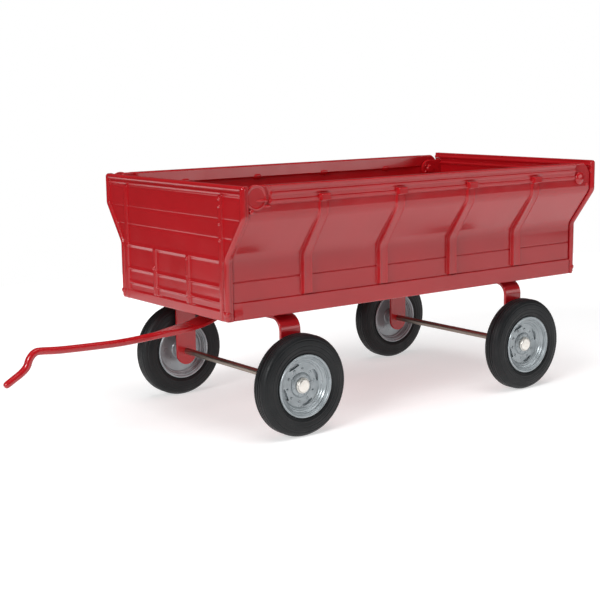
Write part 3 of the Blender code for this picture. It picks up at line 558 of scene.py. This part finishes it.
def side_grid():
    """Places (back, z) over a side, dense where its detail is."""
    edges = [RAIL_END] + [place + side * STAKE_HALF for place in STAKES for side in (-1, 1)]
    edges += [place + side * STAKE_LIP for place in STAKES for side in (-1, 1)]
    backs = lines(SIDE_START, SIDE_END, SIDE_STEP, edges, SIDE_RAMP)
    backs = np.unique(np.concatenate([backs, FRONT_FINE, REAR_FINE]))
    beside_plank = (PLANK_LINE - PLANK_LEVEL, PLANK_LINE + PLANK_LEVEL)
    levels = (SILL_TOP, STAKE_FOOT, *beside_plank, RAIL_BOTTOM, CAP_TOP)
    heights = np.unique(np.concatenate([lines(BOTTOM, TOP, SIDE_RISE, levels), RAIL_FINE]))
    back, z = np.meshgrid(backs, heights)
    squash = (side_top(back) - CORNER_FOOT) / (TOP - CORNER_FOOT)
    return back, np.where(z > CORNER_FOOT, CORNER_FOOT + (z - CORNER_FOOT) * squash, z)


def side_border(back, z):
    """Distance from the nearest border of a side."""
    upright = np.minimum(z - BOTTOM, side_top(back) - z)
    border = np.minimum(upright, np.minimum(back - SIDE_START, SIDE_END - back))
    in_corner = (back < SIDE_START + FRONT_CORNER) & (z > TOP - FRONT_CORNER)
    arc = FRONT_CORNER - np.hypot(back - SIDE_START - FRONT_CORNER, z - TOP + FRONT_CORNER)
    return np.where(in_corner, arc, border)


def side_skin(hand):
    back, z = side_grid()
    fall = edge_round(side_border(back, z), SIDE_EDGE)
    outer = side_relief(back, z) - fall
    inner = fall - side_inner_relief(back, z)
    grids = []
    for inset, proud in ((RELIEF, outer), (RELIEF + WALL, inner)):
        y, tilt = wall(z, inset)
        spots = (BOX_FRONT - back, hand * (y + proud * np.cos(tilt)), z - proud * np.sin(tilt))
        grids.append(np.stack(spots, -1))
    return shell(*grids)


def corner_details(hand):
    """The ringed disc in a side's front corner, the bars below it, and the stud near its rear edge."""
    face, out = HIGH_HALF - RELIEF, (0, hand, 0)
    disc_at = (BOX_FRONT - CORNER_DISC[0], hand * face, CORNER_DISC[1] - DISC_DROP)
    made = [put(lathe(fillet(DISC_PROFILE, DISC_EDGE), steps=56), out, disc_at)]
    for back, height, long, high in CORNER_BARS:
        points, faces = put(stud(1.0, 1.0, steps=24), out, (0, 0, 0))
        middle = (BOX_FRONT - back, hand * (face + BAR_LIFT), height)
        made.append((points * (long, 1.0, high) + middle, faces))
    rear_at = (BOX_FRONT - REAR_STUD[0], hand * face, REAR_STUD[1])
    made.append(put(stud(REAR_STUD_RADIUS, REAR_STUD_PROUD), out, rear_at))
    return made


def side_ledge(hand):
    """The ledge that carries the floor, along the foot of a side."""
    near, far = sorted((hand * LEDGE_INNER, hand * LEDGE_OUTER))
    low = (BOX_FRONT - SIDE_END, near, BED - LEDGE_THICKNESS)
    return slab(low, (BOX_FRONT - SIDE_START, far, BED), SMALL_EDGE)


def make_side(hand, word):
    parts = [side_skin(hand)] + corner_details(hand) + [side_ledge(hand)]
    piece(f"{word}_side_casting", parts, RED, "wagon_box", "red_enamel", f"{word}_side", sharp=55)


# ---- End panels ----------------------------------------------------------------
PANEL_FRONT = 0.9
PANEL_THICKNESS, PANEL_EDGE = 1.4, 0.45
PANEL_RETURN, RETURN_WIDE, RETURN_RAMP = 1.1, 1.3, 0.8  # the front panel's edge turns inwards
FLAT_HALF = 41.2  # the grid's columns stand upright this far from the middle, and fan out beyond
FAN_COLUMNS, FAN_POWER = 21, 1.6
BATTENS, BATTEN_HALF, BATTEN_PROUD = (-14.5, 13.3), 1.2, 0.95
FRAME_LOW, FRAME_HIGH = 56.6, 77.6
STIFFENER, STIFFENER_HALF, STIFFENER_TOP = 39.6, 1.2, 104.6
CROSS_BARS = ((77.5, 1.17), (66.5, 0.91), (60.0, 0.78))  # height, half width
CROSS_PROUD, CROSS_REACH = 0.6, 41  # the second is half their length
PLANKS, PLANK_SOFT, PLANK_SHALLOW = (86.7, 94.8, 104.0), 0.8, 0.11
PLAIN_DEPTH = 0.4  # the plank lines fade out where the detail is this proud
RIM_BEAD, RIM_PROUD = 1.15, 0.8
TOP_LINE, TOP_LINE_PROUD, TOP_LINE_HALF = 3.4, 0.5, 0.8  # the first is its distance below the top
FOOT_PROUD = 0.7
GATE_RIBS, GATE_RIB_PROUD, GATE_RIB_HALF = (108.0, 104.8), 0.55, 0.8
BEAD_RADIUS, TOP_BEAD_RADIUS, BEAD_INSET, BEAD_LIFT, BEAD_END = 1.4, 1.2, 0.9, 0.2, 1.3
BALL_RADIUS, BALL_PLACE = 1.6, (43.2, 55.6)
RELIEF_RAMP = 0.7
PANEL_RISE, LEVEL_RAMP = 1.6, 1.1  # spacings of the grid's levels
PANEL_STEP, MARK_RAMP = 5.0, 0.9  # spacings of its columns
STUD_LIFT, BALL_LIFT = 0.6, 0.1
PANEL_STUDS = [(BATTENS[0], 69.0, 1.15, 1.0)]  # place across, height, radius, how proud
PANEL_STUDS += [(BATTENS[1], height, 0.8, 0.7) for height in (76.0, 68.5, 61.5, 59.0)]
PANEL_STUDS += [(STIFFENER, height, 1.0, 0.85) for height in (103.4, 100.3, 93.0, 86.2)]


def panel_grid(columns, heights):
    """Places (y, z) over a panel: fixed columns in the middle, and fanned ones towards its flared edges."""
    half, _ = wall(heights, 0.0)
    share = 1 - np.linspace(1, 0, FAN_COLUMNS) ** FAN_POWER
    right = -(FLAT_HALF + np.outer(half - FLAT_HALF, share[1:][::-1]))
    left = FLAT_HALF + np.outer(half - FLAT_HALF, share[1:])
    y = np.concatenate([right, np.tile(columns, (len(heights), 1)), left], 1)
    return y, np.tile(heights[:, None], (1, y.shape[1]))


def panel_relief(y, z, top, inset):
    """How far the beads, battens, bars and stiffeners stand proud of a panel's plate."""
    bead = RIM_PROUD * ridge(np.minimum(inset, top - z), RIM_BEAD, RIM_BEAD)
    proud = np.maximum(bead, FOOT_PROUD * (1 - rise(z, FRAME_LOW)))
    proud = np.maximum(proud, TOP_LINE_PROUD * groove(z, top - TOP_LINE, TOP_LINE_HALF))
    for centre in BATTENS:
        across = between(y, centre - BATTEN_HALF, centre + BATTEN_HALF, RELIEF_RAMP)
        proud = np.maximum(proud, BATTEN_PROUD * across * between(z, FRAME_LOW, FRAME_HIGH))
    stiff = between(np.abs(y), STIFFENER - STIFFENER_HALF, STIFFENER + STIFFENER_HALF, RELIEF_RAMP)
    proud = np.maximum(proud, BATTEN_PROUD * stiff * (1 - rise(z, STIFFENER_TOP)))
    for height, half in CROSS_BARS:
        proud = np.maximum(proud, CROSS_PROUD * groove(z, height, half) * (np.abs(y) < CROSS_REACH))
    plain = 1 - np.clip(proud / PLAIN_DEPTH, 0, 1)
    for height in PLANKS:
        proud = proud - PLANK_SHALLOW * groove(z, height, PLANK_SOFT) * plain
    return proud


def panel_skin(top, plate_front, outwards):
    """A panel's plate. outwards is 1 for the front panel and -1 for the tailgate."""
    centres = (*BATTENS, -STIFFENER, STIFFENER)
    marks = [centre + side * BATTEN_HALF for centre in centres for side in (-1, 1)]
    levels = [height for height, _ in CROSS_BARS] + [*PLANKS]
    levels += [FRAME_LOW, STIFFENER_TOP, top - TOP_LINE, top - 2 * RIM_BEAD]
    heights = lines(BOTTOM, top, PANEL_RISE, levels, LEVEL_RAMP)
    y, z = panel_grid(lines(-FLAT_HALF, FLAT_HALF, PANEL_STEP, marks, MARK_RAMP), heights)
    half, tilt = wall(z, 0.0)
    inset = (half - np.abs(y)) * np.cos(tilt)
    fall = edge_round(np.minimum(np.minimum(inset, top - z), z - BOTTOM), PANEL_EDGE)
    outer_back = plate_front - outwards * (panel_relief(y, z, top, inset) - fall)
    inner_back = plate_front + outwards * (PANEL_THICKNESS - fall)
    if outwards > 0:
        inner_back = inner_back + PANEL_RETURN * (1 - rise(inset, RETURN_WIDE, RETURN_RAMP))
    else:
        ribs = [ridge(z, height, GATE_RIB_HALF) for height in GATE_RIBS]
        inner_back = inner_back - GATE_RIB_PROUD * np.max(ribs, axis=0)
    return shell(*[np.stack([BOX_FRONT - back, y, z], -1) for back in (outer_back, inner_back)])


def border_bead(top, back, hand):
    """The rolled bead up one flared edge of an end panel."""
    heights = np.linspace(BOTTOM + BEAD_END, top - BEAD_END, 80)
    half, tilt = wall(heights, 0.0)
    across = hand * (half - BEAD_INSET * np.cos(tilt))
    up = heights + BEAD_INSET * np.sin(tilt)
    return tube([(BOX_FRONT - back, y, z) for y, z in zip(across, up)], BEAD_RADIUS)


def panel_beads(top, plate_front, outwards):
    """The beads up both edges and along the top."""
    back = plate_front + BEAD_LIFT * outwards
    made = [border_bead(top, back, hand) for hand in (-1, 1)]
    span = wall(top, 0.0)[0] - BEAD_INSET
    ends = [(BOX_FRONT - back, side * span, top - RIM_BEAD) for side in np.linspace(-1, 1, 9)]
    return made + [tube(ends, TOP_BEAD_RADIUS)]


def panel_studs(plate_front, outwards):
    """Studs on the battens and one stiffener, and a ball at each foot of the border."""
    made = []
    for y, z, radius, proud in PANEL_STUDS:
        at = (BOX_FRONT - plate_front + outwards * STUD_LIFT, y, z)
        made.append(put(stud(radius, proud), (outwards, 0, 0), at))
    arc = np.linspace(0, math.pi, 13)
    ball = lathe([(BALL_RADIUS * math.sin(a), BALL_RADIUS * math.cos(a)) for a in arc], steps=24)
    for side in (-1, 1):
        at = (BOX_FRONT - plate_front + outwards * BALL_LIFT, side * BALL_PLACE[0], BALL_PLACE[1])
        made.append(put(ball, (0, 0, 1), at))
    return made


def make_panel(name, top, plate_front, outwards, node, body, extra=()):
    parts = [panel_skin(top, plate_front, outwards)] + panel_beads(top, plate_front, outwards)
    parts += [*extra, *panel_studs(plate_front, outwards)]
    piece(name, parts, RED, body, "red_enamel", node, sharp=55)


# ---- Tailgate's ears -----------------------------------------------------------
GATE_FRONT = 208.9
GATE_PLATE = GATE_FRONT + 1.5  # where its outer face starts
EAR_RADIUS, EAR_ROOT = 4.8, 0.6
EAR_RINGS = ((52.2, 0.93), (52.45, 1.0), (53.65, 1.0), (53.9, 0.93))  # distance from the middle, share
EAR_MIDDLE = 53.05
EAR_CENTRE = np.array([PIVOT[0] + 1.5, PIVOT[1]])  # its rims shrink about this (back, height)
EAR_STUD_RING, EAR_STUD_ANGLES = 3.2, (150, 210, 270)
EAR_STUD_RADIUS, EAR_STUD_PROUD = 0.7, 0.5
PIN_BORE = 1.7


def make_ear(hand):
    """An ear with a round end about its pin and three studs on its inner face."""
    round_end = np.linspace(math.pi / 2, -math.pi / 2, 25)
    shape = [(PIVOT[0] - EAR_RADIUS * math.cos(a), PIVOT[1] + EAR_RADIUS * math.sin(a)) for a in round_end]
    root = GATE_FRONT + EAR_ROOT
    shape += [(root, PIVOT[1] - EAR_RADIUS), (root, PIVOT[1] + EAR_RADIUS)]
    rings = []
    for y, keep in EAR_RINGS:
        ring = EAR_CENTRE + (np.array(shape) - EAR_CENTRE) * keep
        rings.append([(BOX_FRONT - back, hand * y, z) for back, z in ring])
    pin_hole = bore(PIN_BORE, (0, 1, 0), (BOX_FRONT - PIVOT[0], hand * EAR_MIDDLE, PIVOT[1]))
    made = [cut(sweep(rings), pin_hole)]
    for angle in EAR_STUD_ANGLES:
        a = math.radians(angle)
        back, z = PIVOT[0] + EAR_STUD_RING * math.cos(a), PIVOT[1] + EAR_STUD_RING * math.sin(a)
        at = (BOX_FRONT - back, hand * EAR_RINGS[0][0], z)
        made.append(put(stud(EAR_STUD_RADIUS, EAR_STUD_PROUD), (0, -hand, 0), at))
    return made


def make_gate():
    """The tailgate, with the ears that reach forward to its pins."""
    ears = [part for hand in (-1, 1) for part in make_ear(hand)]
    make_panel("tailgate_casting", GATE_TOP, GATE_PLATE, -1, "tailgate", "tailgate", ears)


# ---- Floor and fasteners -------------------------------------------------------
FLOOR_EDGE = 53.5  # top of the floor's thin edge, which lies under the sides' ledges
BED_HALF, BED_LIFT = 35.2, 0.05
FLOOR_RIVETS = {"front": 9.0, "rear": 199.6}
FLOOR_RIVET_AT, BRACKET_RIVET_AT = (38.3, 55.1), (14.0, 53.8)  # distance from the middle, height
KINGPIN_HEAD = 53.8
SPACER = ((2.1, 51.5), (6.0, 51.5), (6.0, 52.3), (2.1, 52.3))
PIN_LIFT = 0.2
HEAD_RIM, TAIL_TAPER = 0.3, 0.8
SPACER_EDGE = 0.15
FLOOR_RIVET = {"radius": 1.2, "head": 2.2, "height": 0.9, "grip": 2.5, "tail": 1.2, "tail_height": 0.3}
BRACKET_RIVET = {"radius": 1.2, "head": 2.2, "height": 0.9, "grip": 3.3, "tail": 2.2, "tail_height": 0.9}
GATE_PIN = {"radius": 1.5, "head": 3.0, "height": 1.4, "grip": 4.0, "tail": 2.25, "tail_height": 0.9}
KINGPIN = {"radius": 1.8, "head": 3.4, "height": 0.9, "grip": 6.2, "tail": 2.9, "tail_height": 1.2}


def make_floor():
    """A thin edge under the ledges, and a raised bed that comes up flush with them."""
    rear, front = BOX_FRONT - SIDE_END, BOX_FRONT - SIDE_START
    edge = slab((rear, -FLOOR_HALF, FLOOR_LOW), (front, FLOOR_HALF, FLOOR_EDGE), SMALL_EDGE)
    bed = slab((rear, -BED_HALF, FLOOR_LOW + BED_LIFT), (front, BED_HALF, BED), SMALL_EDGE)
    piece("floor", [edge, bed], RED, "wagon_box", "red_enamel", "floor_pan")


def rivet_part(radius, head, height, grip, tail, tail_height):
    """A rivet with a domed head above z = 0, and its tail below the grip."""
    profile = [(0, height)]
    for t in np.linspace(0.2, 1, 7):
        a = t * math.pi / 2
        profile.append((head * math.sin(a), height * (HEAD_RIM + (1 - HEAD_RIM) * math.cos(a))))
    foot = -grip - tail_height
    profile += [(head, 0), (radius, 0), (radius, -grip), (tail, -grip)]
    return lathe(profile + [(tail * TAIL_TAPER, foot), (0, foot)], steps=32)


def fasten(name, node, kind, axis, at):
    piece(name, [put(rivet_part(**kind), axis, at)], RED, "wagon_box", "red_enamel", node)


def make_fasteners():
    for end, back in FLOOR_RIVETS.items():
        for word, hand in HANDS.items():
            node = f"floor_rivet_{end}_{word}"
            at = (BOX_FRONT - back, hand * FLOOR_RIVET_AT[0], FLOOR_RIVET_AT[1])
            fasten(node + "_dome", node, FLOOR_RIVET, (0, 0, 1), at)
    for word, hand in HANDS.items():
        node = f"rear_bracket_rivet_{word}"
        at = (BOX_FRONT - AXLE_BACKS["rear"], hand * BRACKET_RIVET_AT[0], BRACKET_RIVET_AT[1])
        fasten(node + "_dome", node, BRACKET_RIVET, (0, 0, 1), at)
        node = f"tailgate_pin_{word}"
        at = (BOX_FRONT - PIVOT[0], hand * (HIGH_HALF - RELIEF + PIN_LIFT), PIVOT[1])
        fasten(node + "_head", node, GATE_PIN, (0, hand, 0), at)
    x = BOX_FRONT - AXLE_BACKS["front"]
    pin = put(rivet_part(**KINGPIN), (0, 0, 1), (x, 0, KINGPIN_HEAD))
    piece("kingpin_turned", [pin], STEEL, "wagon_box", "axle_steel", "kingpin")
    ring = put(ring_lathe(fillet(SPACER, SPACER_EDGE, closed=True), steps=48), (0, 0, 1), (x, 0, 0))
    piece("spacer_turned", [ring], STEEL, "wagon_box", "axle_steel", "kingpin_spacer")


# ---- Axle brackets and rods ----------------------------------------------------
STRIP_THIN = 0.75  # half a strip's thickness
STRIP_EDGE = 0.4
STRIP_BEND = 5.75
ARM_END, ARM_END_HALF = 6.6, 0.6  # how far an arm reaches below its axle, and its half width there
KINGPIN_BORE = 2.0
ROD_PAST, ROD_RADIUS, ROD_END_RADIUS, ROD_CHAMFER = 2.1, 1.5, 1.2, 0.3


def strip_ring(point, normal, half_wide, x):
    """One rounded-rectangle section of a bracket's strip."""
    corners = [(half_wide, -STRIP_THIN), (half_wide, STRIP_THIN)]
    corners += [(-half_wide, STRIP_THIN), (-half_wide, -STRIP_THIN)]
    ring = []
    for across, through in fillet(corners, STRIP_EDGE, 3, closed=True):
        spot = point + normal * through
        ring.append((x + across, spot[0], spot[1]))
    return ring


def make_bracket(end, body):
    """A strip bent into a U, with round ends. Its line is followed from one foot to the other."""
    top, arm = STRIP_TOPS[end], ARM_OUTER - STRIP_THIN
    line = []
    for t in np.linspace(0, 1, 16)[1:]:
        a = t * math.pi / 2
        spot = np.array([arm, AXLE_Z - ARM_END + STRIP_HALF * (1 - math.cos(a))])
        line.append((spot, np.array([1.0, 0.0]), max(ARM_END_HALF, STRIP_HALF * math.sin(a))))
    centre = np.array([arm - STRIP_BEND, top - STRIP_THIN - STRIP_BEND])
    for t in np.linspace(0, 1, 14):
        normal = np.array([math.cos(t * math.pi / 2), math.sin(t * math.pi / 2)])
        line.append((centre + normal * STRIP_BEND, normal, STRIP_HALF))
    mirror = np.array([-1.0, 1.0])
    line += [(spot * mirror, normal * mirror, half) for spot, normal, half in reversed(line)]
    x = BOX_FRONT - AXLE_BACKS[end]
    strip = sweep([strip_ring(spot, normal, half, x) for spot, normal, half in line])
    if end == "front":
        strip = cut(strip, bore(KINGPIN_BORE, (0, 0, 1), (x, 0, top - STRIP_THIN)))
    piece(f"{end}_bracket_strip", [strip], RED, body, "red_enamel", f"{end}_axle_bracket", sharp=50)


def make_rod(end, body):
    half = TRACK_HALF + ROD_PAST
    upper = [(0, half), (ROD_END_RADIUS, half), (ROD_RADIUS, half - ROD_CHAMFER)]
    rod = lathe(upper + [(radius, -height) for radius, height in reversed(upper)], steps=40)
    at = (BOX_FRONT - AXLE_BACKS[end], 0, AXLE_Z)
    piece(f"{end}_rod", [put(rod, (0, 1, 0), at)], STEEL, body, "axle_steel", f"{end}_axle_rod")


# ---- Wheels --------------------------------------------------------------------
# Profiles are (radius, distance out). A tyre's is mirrored for its inner half.
RIM = (
    (1.7, 1.5), (2.8, 1.75), (4.3, 1.75), (5.1, 1.4), (5.5, 0.75), (9.4, 0.7),
    (9.9, 0.95), (10.3, 1.5), (10.7, 1.6), (11.0, 2.25), (11.5, 2.35), (11.9, 3.0),
    (12.3, 3.15), (12.7, 4.3), (13.1, 4.75), (13.6, 4.65), (13.85, 4.2), (13.7, 3.9),
    (12.2, 3.6), (12.2, -3.6), (13.7, -3.9), (13.85, -4.2), (13.6, -4.65), (13.1, -4.75),
    (12.75, -4.3), (12.5, -3.0), (11.9, -2.85), (11.7, -1.8), (11.1, -1.65), (10.9, -0.6),
    (4.6, -0.5), (4.2, -1.0), (2.9, -1.1), (2.9, -4.9), (1.7, -4.9),
)
TYRE = (
    (12.2, 3.3), (12.4, 3.3), (13.4, 3.7), (14.1, 4.0), (15.0, 4.45), (15.5, 4.72),
    (15.9, 4.5), (16.3, 4.62), (17.3, 4.78), (17.7, 4.6), (18.1, 4.76), (19.6, 4.52),
    (20.0, 4.15), (20.4, 4.3), (21.2, 3.8), (21.75, 3.2), (21.6, 2.95), (22.0, 2.65),
    (22.2, 2.1), (22.2, 1.65), (21.75, 1.5), (21.75, 1.2), (22.2, 1.05), (22.2, 0.25),
)
TREAD_LINE = (21.75, 0.15)  # the narrow groove round the middle of the tread
CAP = (
    (0, 1.52), (1.2, 1.5), (2.3, 1.42), (2.9, 1.2), (3.05, 0.9), (3.1, 0.65),
    (3.42, 0.55), (3.45, 0), (3.1, -0.1), (1.6, -0.1), (1.6, 0.5), (0, 0.5),
)
CAP_OUT = 1.95  # from the wheel's middle to where the cap's own profile starts
RIM_EDGE, TYRE_EDGE, CAP_EDGE = 0.22, 0.25, 0.12
WHEEL_STEPS = 96
SLOT_RING, SLOT_ARC, SLOT_HALF = 8.9, 0.34, 0.8  # the arc is half a slot's angle, in radians
SLOT_TIP = 0.97  # share of the arc at which its point is cut off
SLOT_FIRST, SLOTS = 23, 4  # the first slot's angle in degrees
SLOT_FLOOR, ABOVE_RIM = -0.25, 3.0
DIMPLES = (
    {"count": 10, "ring": 7.1, "radius": 0.62, "height": 0.5, "z": 0.7, "first": 9},
    {"count": 8, "ring": 4.35, "radius": 0.42, "height": 0.36, "z": 1.7, "first": 12},
)


def slot_cutter(angle):
    """A curved cutter with pointed ends, round the hub."""
    arc = np.linspace(-SLOT_TIP, SLOT_TIP, 15) * SLOT_ARC
    half = SLOT_HALF * np.sqrt(1 - (arc / SLOT_ARC) ** 2)
    radii = np.concatenate([SLOT_RING + half, (SLOT_RING - half)[::-1]])
    turns = angle + np.concatenate([arc, arc[::-1]])
    across, up = radii * np.cos(turns), radii * np.sin(turns)
    return sweep([list(zip(across, up, [z] * len(radii))) for z in (SLOT_FLOOR, ABOVE_RIM)])


def rim_parts():
    """A rim with slots sunk into its web, and two rings of dimples."""
    blank = ring_lathe(fillet(RIM, RIM_EDGE, 2, closed=True), WHEEL_STEPS)
    slots = [slot_cutter(math.radians(SLOT_FIRST + 360 / SLOTS * k)) for k in range(SLOTS)]
    made = [cut(blank, *slots)]
    for row in DIMPLES:
        for k in range(row["count"]):
            a = math.radians(row["first"] + 360 / row["count"] * k)
            at = (row["ring"] * math.cos(a), row["ring"] * math.sin(a), row["z"])
            made.append(put(stud(row["radius"], row["height"], steps=12), (0, 0, 1), at))
    return made


def tyre_part():
    half = fillet(TYRE, TYRE_EDGE, 2) + [np.array(TREAD_LINE)]
    return ring_lathe(half + [np.array([radius, -out]) for radius, out in reversed(half)], WHEEL_STEPS)


def make_wheels():
    rim, tyre, cap = rim_parts(), tyre_part(), lathe(fillet(CAP, CAP_EDGE, 2), steps=48)
    for end, back in AXLE_BACKS.items():
        axle = "front_axle" if end == "front" else "wagon_box"
        for word, hand in HANDS.items():
            name, out = f"{end}_{word}", (0, hand, 0)
            wheel = name + "_wheel"
            at = (BOX_FRONT - back, hand * TRACK_HALF, AXLE_Z)
            cap_at = (BOX_FRONT - back, hand * (TRACK_HALF + CAP_OUT), AXLE_Z)
            here = [put(part, out, at) for part in rim]
            piece(name + "_rim_moulding", here, GREY, wheel, "rim_grey", name + "_rim", sharp=45)
            here = [put(tyre, out, at)]
            piece(name + "_tyre_moulding", here, RUBBER, wheel, "tyre_rubber", name + "_tyre", sharp=60)
            here = [put(cap, out, cap_at)]
            piece(name + "_cap_pressing", here, BRIGHT, axle, "cap_bright", name + "_axle_cap", sharp=60)


# ---- Tongue --------------------------------------------------------------------
# Each spot of its route is (ahead of the box's front, height, width, thickness).
ROUTE = (
    (-38.4, 48.85, 9.0, 1.7), (-36.6, 48.85, 11.6, 1.7), (-33.0, 48.85, 12.5, 1.7),
    (-27.0, 48.85, 12.5, 1.7), (-22.5, 47.6, 12.5, 1.7), (-16.0, 45.2, 12.5, 1.7),
    (-9.0, 43.6, 12.3, 1.8), (-3.5, 42.8, 10.6, 2.1), (1.5, 42.2, 7.8, 2.5),
    (7.0, 41.7, 5.0, 2.9), (13.0, 41.2, 3.3, 3.2), (26.0, 40.6, 3.2, 3.2),
    (40.0, 40.8, 3.2, 3.2), (55.0, 41.3, 3.2, 3.2), (63.5, 42.0, 3.2, 3.2),
    (66.2, 41.5, 3.3, 3.2), (68.3, 39.4, 3.4, 3.2), (69.8, 36.2, 3.4, 3.2),
    (72.3, 33.9, 3.3, 3.1), (76.0, 31.7, 3.2, 3.0), (79.0, 29.9, 3.0, 2.8),
    (79.9, 29.35, 1.4, 1.3),
)
STRETCH_STEPS = 6
SECTION_POINTS = 28
FLATTEST = 2.5  # width over thickness, less 1, at which a section is as square as it gets
SQUARENESS = 6.0
PLATE_HEIGHT = 48.85


def curve(route, steps):
    """Points on a smooth curve through every point of a route."""
    last = len(route) - 1
    fine = []
    for i in range(last):
        p0, p1, p2, p3 = route[max(i - 1, 0)], route[i], route[i + 1], route[min(i + 2, last)]
        for s in np.linspace(0, 1, steps + 1)[:-1]:
            bend = (2 * p0 - 5 * p1 + 4 * p2 - p3) * s**2 + (3 * p1 - p0 - 3 * p2 + p3) * s**3
            fine.append(0.5 * (2 * p1 + (p2 - p0) * s + bend))
    return np.array(fine + [route[-1]])


def squared(angle, half, power):
    """A cosine-like swing between -half and half, squarer for a smaller power."""
    return half * math.copysign(abs(math.cos(angle)) ** power, math.cos(angle))


def make_tongue():
    """A plate drawn out into a rod, whose section goes from a flat bar to a circle."""
    fine = curve(np.array(ROUTE), STRETCH_STEPS)
    rings = []
    for i, (ahead, z, width, thick) in enumerate(fine):
        run = fine[min(i + 1, len(fine) - 1), :2] - fine[max(i - 1, 0), :2]
        run = run / np.linalg.norm(run)
        power = 2 / (2 + SQUARENESS * float(smooth((width / thick - 1) / FLATTEST)))
        ring = []
        for k in range(SECTION_POINTS):
            a = math.tau * (k + 0.5) / SECTION_POINTS
            lift = squared(a - math.pi / 2, thick / 2, power)
            across = squared(a, width / 2, power)
            ring.append((BOX_FRONT + ahead - run[1] * lift, across, z + run[0] * lift))
        rings.append(ring)
    pin_hole = bore(KINGPIN_BORE, (0, 0, 1), (BOX_FRONT - AXLE_BACKS["front"], 0, PLATE_HEIGHT))
    tongue = cut(sweep(rings), pin_hole)
    piece("tongue_forging", [tongue], RED, "front_axle", "red_enamel", "tongue", sharp=60)


# ---- Build ---------------------------------------------------------------------
for word, hand in HANDS.items():
    make_side(hand, word)
make_panel("front_panel_casting", TOP, PANEL_FRONT, 1, "front_panel", "wagon_box")
make_gate()
make_floor()
make_fasteners()
for end, body in (("front", "front_axle"), ("rear", "wagon_box")):
    make_bracket(end, body)
for end, body in (("front", "front_axle"), ("rear", "wagon_box")):
    make_rod(end, body)
make_wheels()
make_tongue()

# ---- Stage, light and camera: lengths are metres -------------------------------
FLOOR_RADIUS, FLOOR_AT = 0.58, (-0.1, 0.15, 0)
MIDDLE_GLOW, RIM_GLOW = 0.56, 0.9
GLOW_START, GLOW_END = 0.02, 0.5  # shares of the way in from the sheet's rim
WORLD_LEVEL = 0.07  # what the white world sheds on the object, while the camera sees it at full strength
RIGHT, BACK = (-0.8012, 0.5982, -0.0133), (0.5881, 0.7914, 0.1667)
CAMERA_AT = (0.3476, 0.4745, 0.1484)


def paper():
    """White paper that glows a little more towards the sheet's rim, to meet the white world."""
    made, tree, shader, coords = surface(
        "paper", (0.55, 0.55, 0.55), roughness=0.75, Specular_IOR_Level=0.15
    )
    shader.inputs["Emission Color"].default_value = (1, 1, 1, 1)
    scaled = tree.nodes.new("ShaderNodeMapping")
    scaled.inputs["Scale"].default_value = (1 / FLOOR_RADIUS,) * 3
    tree.links.new(coords, scaled.inputs["Vector"])
    inwards = tree.nodes.new("ShaderNodeTexGradient")
    inwards.gradient_type = "SPHERICAL"
    tree.links.new(scaled.outputs["Vector"], inwards.inputs["Vector"])
    glow = spread(tree, inwards.outputs["Fac"], RIM_GLOW, MIDDLE_GLOW, GLOW_START, GLOW_END)
    tree.links.new(glow, shader.inputs["Emission Strength"])
    return made


def make_floor_sheet():
    bpy.ops.mesh.primitive_circle_add(vertices=128, radius=FLOOR_RADIUS, fill_type="NGON")
    sheet = bpy.context.object
    sheet.name = "floor_sheet"
    sheet.location = FLOOR_AT
    sheet.data.materials.append(paper())


def make_world():
    world = bpy.data.worlds.new("studio")
    bpy.context.scene.world = world
    world.use_nodes = True
    tree = world.node_tree
    background = tree.nodes["Background"]
    path = tree.nodes.new("ShaderNodeLightPath")
    level = tree.nodes.new("ShaderNodeMapRange")
    level.inputs["To Min"].default_value = WORLD_LEVEL
    level.inputs["To Max"].default_value = 1.0
    tree.links.new(path.outputs["Is Camera Ray"], level.inputs["Value"])
    background.inputs["Color"].default_value = (1, 1, 1, 1)
    tree.links.new(level.outputs["Result"], background.inputs["Strength"])


def area(name, at, aim, size, watts, glossy=True):
    """A rectangular lamp that the camera doesn't see."""
    data = bpy.data.lights.new(name, "AREA")
    data.shape = "RECTANGLE"
    data.size, data.size_y = size
    data.energy = watts
    lamp = bpy.data.objects.new(name, data)
    lamp.location = at
    lamp.rotation_euler = (Vector(aim) - Vector(at)).to_track_quat("-Z", "Y").to_euler()
    lamp.visible_camera = False
    lamp.visible_glossy = glossy
    bpy.context.collection.objects.link(lamp)


def make_camera():
    data = bpy.data.cameras.new("camera")
    data.lens = 76.0
    data.sensor_width = 36.0
    data.clip_start = 0.01
    camera = bpy.data.objects.new("camera", data)
    bpy.context.collection.objects.link(camera)
    right, back = Vector(RIGHT).normalized(), Vector(BACK).normalized()
    turn = Matrix((right, back.cross(right), back)).transposed().to_4x4()
    camera.matrix_world = Matrix.Translation(CAMERA_AT) @ turn
    bpy.context.scene.camera = camera


make_floor_sheet()
make_world()
area("overhead", (0.05, 0.15, 1.25), aim=(0, 0, 0.03), size=(1.2, 1.1), watts=12.5, glossy=False)
area("strip", (0.0, 0.25, 1.2), aim=(0, 0, 0.03), size=(1.0, 0.3), watts=2.4)
area("front", (1.25, 0.5, 0.75), aim=(0, 0, 0.07), size=(0.5, 0.4), watts=12)
area("low_left", (-0.8, 0.95, 0.26), aim=(-0.06, 0, 0.1), size=(0.75, 0.34), watts=1.6)
make_camera()
bpy.context.scene.view_settings.view_transform = "Standard"
